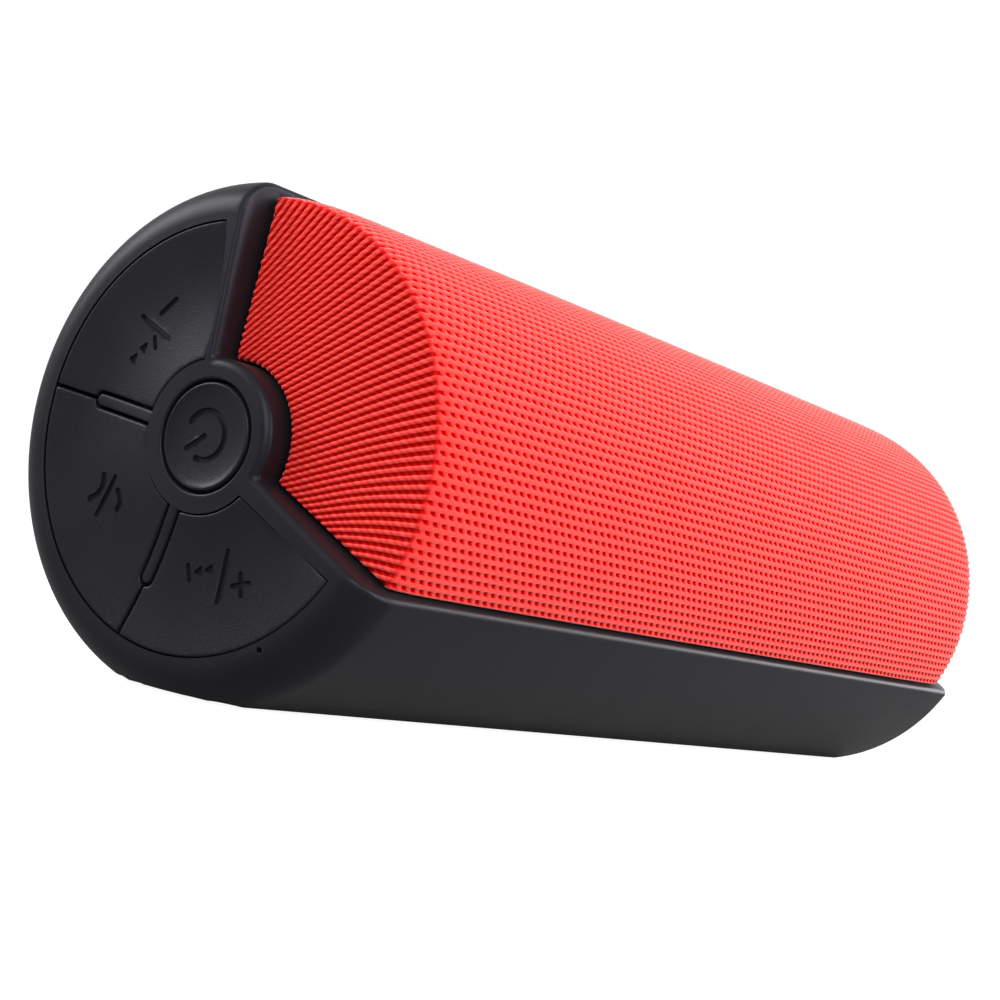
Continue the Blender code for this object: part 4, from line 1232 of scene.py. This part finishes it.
def row_normals(depth, radius):
    """Outward directions (x, radial) of the rows; the rows tucked in at both ends share one."""
    slope_x = np.gradient(depth)
    slope_r = np.gradient(radius)
    size = np.hypot(slope_x, slope_r)
    normals = (-slope_r / size, slope_x / size)
    for normal in normals:
        normal[:3] = normal[3]
        normal[-3:] = normal[-4]
    return normals


def ripple(x, angle, seed):
    """Slow, repeatable unevenness between -1 and 1."""
    total = np.zeros(np.broadcast(x, angle).shape)
    for k in range(1, 5):
        total = total + np.sin(x * 0.11 * k + seed * k * 1.7 + 2.1 * np.sin(angle * 0.05 * k + seed))
        total = total + np.sin(angle * 0.13 * k + seed * 2.3 * k + 1.3 * np.sin(x * 0.07 * k))
    return total / 8


def weave_height(rib, stitch, end_share):
    """Height of the knit above its valleys, in mm: round ribs, stitch bulges, eyes between ribs."""
    ridge = 0.5 + 0.5 * np.cos(2 * np.pi * rib)
    beat = 0.5 + 0.5 * np.cos(2 * np.pi * stitch)
    twice = 0.5 + 0.5 * np.cos(4 * np.pi * stitch)
    valley = (1 - ridge) ** 2
    flank = 0.13 * ridge**0.7 + 0.05 * ridge * (1 - beat) - 0.28 * valley * beat
    face = ridge * (0.30 + 0.10 * beat + 0.13 * twice)
    return flank * (1 - end_share) + face * end_share


def weave_at(depth, radius, angle, start, stop):
    """Which rib and which stitch each point of the knit lies on, and whether it is on an end."""
    forward = radius[:, None] * np.cos(np.radians(angle))
    up = radius[:, None] * np.sin(np.radians(angle))
    fanned, run = fan(forward, up)
    share = np.clip((CREASE_R - radius) / CREASE_BLEND, 0, 1)[:, None]
    on_end = share * ((depth < start) | (depth > stop))[:, None]
    rib = np.where(on_end > 0, fanned, angle) / RIB_PITCH
    rib = rib + RIB_WOBBLE * ripple(depth[:, None], angle, 1.0)
    side = np.where(depth < LENGTH / 2, -1.0, 1.0)[:, None]
    stitch = np.clip(depth, start, stop)[:, None] / STITCH_PITCH
    stitch = stitch + side * np.maximum(run, 0.0) * on_end / END_STITCH_PITCH
    stitch = stitch + STITCH_SLANT * rib + STITCH_WOBBLE * ripple(depth[:, None], angle, 4.0)
    return rib, stitch, on_end


def make_cover():
    depth, radius, start, stop = cover_rows()
    normal_x, normal_r = row_normals(depth, radius)
    low = np.array([wall_angle(LOWER_ANGLE, LOWER_OFFSET + COVER_GAP, r) for r in radius])
    high = np.array([wall_angle(UPPER_ANGLE, UPPER_OFFSET - COVER_GAP, r) for r in radius])
    flank = int(np.argmax(depth > start))
    spans = round((high[flank] - low[flank]) / RIB_PITCH * RIB_COLUMNS)
    tuck = np.array([share for share, _ in SIDE_TUCK])
    shares = np.concatenate([tuck, np.linspace(0.009, 0.991, spans), 1 - tuck[::-1]])
    angle = low[:, None] + (high - low)[:, None] * shares[None, :]
    sink = np.zeros(len(shares))
    sink[:3] = [drop for _, drop in SIDE_TUCK]
    sink[-3:] = sink[2::-1]
    rib, stitch, on_end = weave_at(depth, radius, angle, start, stop)
    height = weave_height(rib, stitch, on_end)
    height = height * (1 + HEIGHT_WOBBLE * ripple(depth[:, None] * 3, angle * 3, 7.0))
    fade = np.clip((np.minimum(shares, 1 - shares) - 0.004) / 0.006, 0, 1)
    ends = np.ones(len(depth))
    ends[:4] = ROW_FADE
    ends[-4:] = ends[3::-1]
    lift = height * fade[None, :] * ends[:, None] - WEAVE_SINK - sink[None, :]
    out_r = radius[:, None] + lift * normal_r[:, None]
    out_x = depth[:, None] + lift * normal_x[:, None]
    forward = out_r * np.cos(np.radians(angle))
    up = out_r * np.sin(np.radians(angle))
    points = np.stack([(out_x - HALF) * MM, -forward * MM, (up + AXIS_Z) * MM], axis=-1)
    weave = np.stack([rib, stitch, np.broadcast_to(on_end, rib.shape)], axis=-1)
    inner_r = radius - (COVER_THICK + BACK_GAP) * normal_r
    inner_x = depth - (COVER_THICK + BACK_GAP) * normal_x
    inner_x[:3] = inner_x[3]
    inner_x[-3:] = inner_x[-4]
    back = np.stack([inner_x - HALF, inner_r], axis=-1)
    install(knit_sheet(points, weave, back, angle), "body", "cover")


def knit_sheet(points, weave, back, angle):
    """Closes the woven face with a plain back, given by (x, radius) rows, and joins their edges."""
    rows, columns = points.shape[:2]
    keep_rows = [*range(0, rows - 1, BACK_EVERY), rows - 1]
    keep_columns = [*range(0, columns - 1, BACK_EVERY), columns - 1]
    front = np.arange(rows * columns).reshape(rows, columns)
    quads = np.stack([front[:-1, :-1], front[1:, :-1], front[1:, 1:], front[:-1, 1:]], axis=-1)
    faces = quads.reshape(-1, 4).tolist()
    places = points.reshape(-1, 3).tolist()
    number = {}
    for i in keep_rows:
        for j in keep_columns:
            number[i, j] = len(places)
            places.append(world(back[i, 0], *polar(back[i, 1], angle[i, j])))
    for i, i_next in zip(keep_rows, keep_rows[1:]):
        for j, j_next in zip(keep_columns, keep_columns[1:]):
            faces.append([number[i, j], number[i, j_next], number[i_next, j_next], number[i_next, j]])
    for i in (0, rows - 1):
        for j, j_next in zip(keep_columns, keep_columns[1:]):
            edge = front[i, j : j_next + 1].tolist()
            faces.append([*edge, number[i, j_next], number[i, j]])
    for j in (0, columns - 1):
        for i, i_next in zip(keep_rows, keep_rows[1:]):
            edge = front[i : i_next + 1, j].tolist()
            faces.append([*edge, number[i_next, j], number[i, j]])
    mesh = bpy.data.meshes.new("cover_knit")
    mesh.from_pydata(places, [], faces)
    attribute = mesh.attributes.new("weave", "FLOAT_VECTOR", "POINT")
    values = np.zeros((len(places), 3), np.float32)
    values[: rows * columns] = weave.reshape(-1, 3)
    attribute.data.foreach_set("vector", values.ravel())
    mesh.shade_smooth()
    mesh.materials.append(FINISHES["red_knit"])
    face_outwards(mesh)
    return new_object("cover_knit", mesh)


# ---------------------------------------------------------------- port flap and foot pad


def scoop(x, up):
    """Depth of the thumb scoop along the flap's top edge."""
    wide = math.exp(-((x / SCOOP_HALF) ** 4))
    rise = min(max((up - FLAP_TOP + SCOOP_START) / SCOOP_RISE, 0.0), 1.0)
    rim = min(max((FLAP_TOP - FLAP_EDGE - up) / SCOOP_FADE, 0.0), 1.0)
    return SCOOP_DEPTH * wide * rise**2 * rim


def make_port_flap():
    """The rubber flap: a curved panel with a soft edge, a thumb scoop and a plug for each port."""
    outline = rounded_box(FLAP_HALF, FLAP_BOTTOM, FLAP_TOP, FLAP_CORNER)
    skin = Skin()
    levels = [(FLAP_EDGE * drop + FLAP_SINK, -FLAP_EDGE * inset) for inset, drop in quarter(5)]
    skin.stack(level_rows(outline, [*levels, (FLAP_THICK, 0.0)], on_back))
    top = offset_loop(outline, -FLAP_EDGE)
    skin.patch(*flat_patch(top, (), (), 0.8), lambda x, up: on_back(x, up, FLAP_SINK + scoop(x, up)))
    oblongs = (CHARGER_PLUG, CARD_PLUG)
    charger, card = [rounded_box(half, -tall, tall, corner, 4) for half, tall, corner in oblongs]
    plugs = zip((charger, circle(JACK_PLUG_R, 24), card), PLUG_PLACES)
    holes = [[(x + at_x, up + at_up) for x, up in plug] for plug, (at_x, at_up) in plugs]
    skin.patch(*flat_patch(outline, holes, (), 1.5), lambda x, up: on_back(x, up, FLAP_THICK))
    for hole in holes:
        end = FLAP_THICK + PLUG_LENGTH
        ends = [(FLAP_THICK, 0.0), (end, 0.0), (end + 0.25, -0.15)]
        skin.fill(skin.stack(level_rows(hole, ends, on_back))[-1])
    flap = skin.build("port_flap_rubber", "key_rubber")
    install(flap, "port_flap", "port_flap")


def make_foot_pad():
    """The foot pad: a long rounded strip with shallow grip ribs across it."""
    outline = stadium(FOOT_HALF - FOOT_R, FOOT_R, 16)
    skin = Skin()
    rows = []
    for inset, drop in quarter(4):
        loop = offset_loop(outline, -FOOT_EDGE * inset)
        rows.append([world(x, y, FOOT_BOTTOM + FOOT_EDGE * drop) for x, y in loop])
    rows.append([world(x, y, FOOT_TOP) for x, y in outline])
    skin.fill(skin.stack(rows)[-1])
    panel = stadium(FOOT_HALF - FOOT_R, FOOT_R - FOOT_MARGIN, 16)
    flat, faces = flat_patch(offset_loop(outline, -FOOT_EDGE), (), (panel,), 0.9)
    held = dict(zip(flat, inside(flat, offset_loop(panel, 0.01))))

    def sole(x, y):
        grip = 1 - abs(math.sin(math.pi * x / GRIP_PITCH)) ** 0.5
        return world(x, y, FOOT_BOTTOM + (GRIP_DEPTH * grip if held[x, y] else 0.0))

    skin.patch(flat, faces, sole)
    install(skin.build("foot_pad_rubber", "foot_rubber"), "body", "foot_pad")


def finish_inner_nodes():
    """Gives every shown CAD node the procedural finish of its material slot."""
    slots = {part["node"]: part["material_slot"] for part in frame["record"]["subparts"]}
    for name, obj in frame["nodes"].items():
        if obj.hide_render:
            continue
        obj.data.materials.clear()
        obj.data.materials.append(FINISHES[slots[name]])


# ---------------------------------------------------------------- stage, light and camera

CAMERA_AT = (-0.3100, -0.1895, 0.0246)
CAMERA_RIGHT = (0.5414, -0.8178, 0.1954)
CAMERA_FORWARD = (0.8297, 0.5572, 0.0336)
LENS = 75.67
FLOOR_REACH = 30.0
FLOOR_TONE = 0.3
FLOOR_GLOW = 0.93
SKY_SEEN = 1.05
SKY_RAMP = {1: -0.2, 2: 1.0, 3: 0.35, 4: 0.7}
WHITE = (1, 1, 1, 1)
LIGHTS = {
    "front_light": ((0.2, -0.95, 0.45), 0.7, 11.0),
    "side_light": ((-0.48, 0.74, 0.5), 0.5, 6.0),
    "fill_light": ((-0.85, -0.5, 0.55), 0.7, 8.0),
    "end_light": ((0.8, -0.25, 0.3), 0.5, 4.0),
}


def make_camera():
    data = bpy.data.cameras.new("camera")
    data.lens = LENS
    data.sensor_width = 36.0
    data.clip_start = 0.01
    camera = new_object("camera", data)
    back = -Vector(CAMERA_FORWARD).normalized()
    right = Vector(CAMERA_RIGHT)
    right = (right - back * right.dot(back)).normalized()
    up = back.cross(right)
    turn = Matrix((right, up, back)).transposed().to_4x4()
    camera.matrix_world = Matrix.Translation(CAMERA_AT) @ turn
    bpy.context.scene.camera = camera


def make_floor():
    """A pale floor that looks white to the camera and stays greyer to the speaker."""
    mesh = bpy.data.meshes.new("floor")
    corners = [(x * FLOOR_REACH, y * FLOOR_REACH, 0) for x, y in ((-1, -1), (1, -1), (1, 1), (-1, 1))]
    mesh.from_pydata(corners, [], [(0, 1, 2, 3)])
    paint = Paint("floor_white", 1.0)
    paint.set({"Base Color": (FLOOR_TONE, FLOOR_TONE, FLOOR_TONE, 1), "Specular IOR Level": 0.0})
    paint.set({"Emission Color": WHITE})
    seen = paint.node("LightPath").outputs["Is Camera Ray"]
    paint.link(paint.times(seen, FLOOR_GLOW), "Emission Strength")
    mesh.materials.append(paint.material)
    new_object("floor", mesh)


def make_world():
    """White to the camera; a soft overhead gradient to everything else."""
    made = bpy.data.worlds.new("studio")
    made.use_nodes = True
    tree = made.node_tree
    up = add_node(tree, "SeparateXYZ", {0: add_node(tree, "TexCoord").outputs["Generated"]}).outputs[2]
    sky = tree.nodes["Background"]
    sky.inputs["Color"].default_value = WHITE
    tree.links.new(add_node(tree, "MapRange", {0: up, **SKY_RAMP}).outputs[0], sky.inputs["Strength"])
    white = add_node(tree, "Background", {"Color": WHITE, "Strength": SKY_SEEN})
    seen = add_node(tree, "LightPath").outputs["Is Camera Ray"]
    mix = add_node(tree, "MixShader", {0: seen, 1: sky.outputs[0], 2: white.outputs[0]})
    tree.links.new(mix.outputs[0], tree.nodes["World Output"].inputs[0])
    bpy.context.scene.world = made
    bpy.context.scene.view_settings.view_transform = "Standard"


def make_light(name, place, size, watts):
    """A square soft light aimed at the speaker."""
    data = bpy.data.lights.new(name, "AREA")
    data.size = size
    data.energy = watts
    light = new_object(name, data)
    light.location = place
    aim = Vector((0, 0, AXIS_Z * MM)) - Vector(place)
    light.rotation_euler = aim.to_track_quat("-Z", "Y").to_euler()


def main():
    make_housing()
    for number, separator in enumerate(SEPARATORS, 1):
        make_bar(separator, f"key_bar_{number}")
    for index, name in enumerate(KEYS):
        make_key(index, name)
    make_power_button()
    make_cover()
    make_port_flap()
    make_foot_pad()
    finish_inner_nodes()
    make_floor()
    make_world()
    for name, settings in LIGHTS.items():
        make_light(name, *settings)
    make_camera()


main()
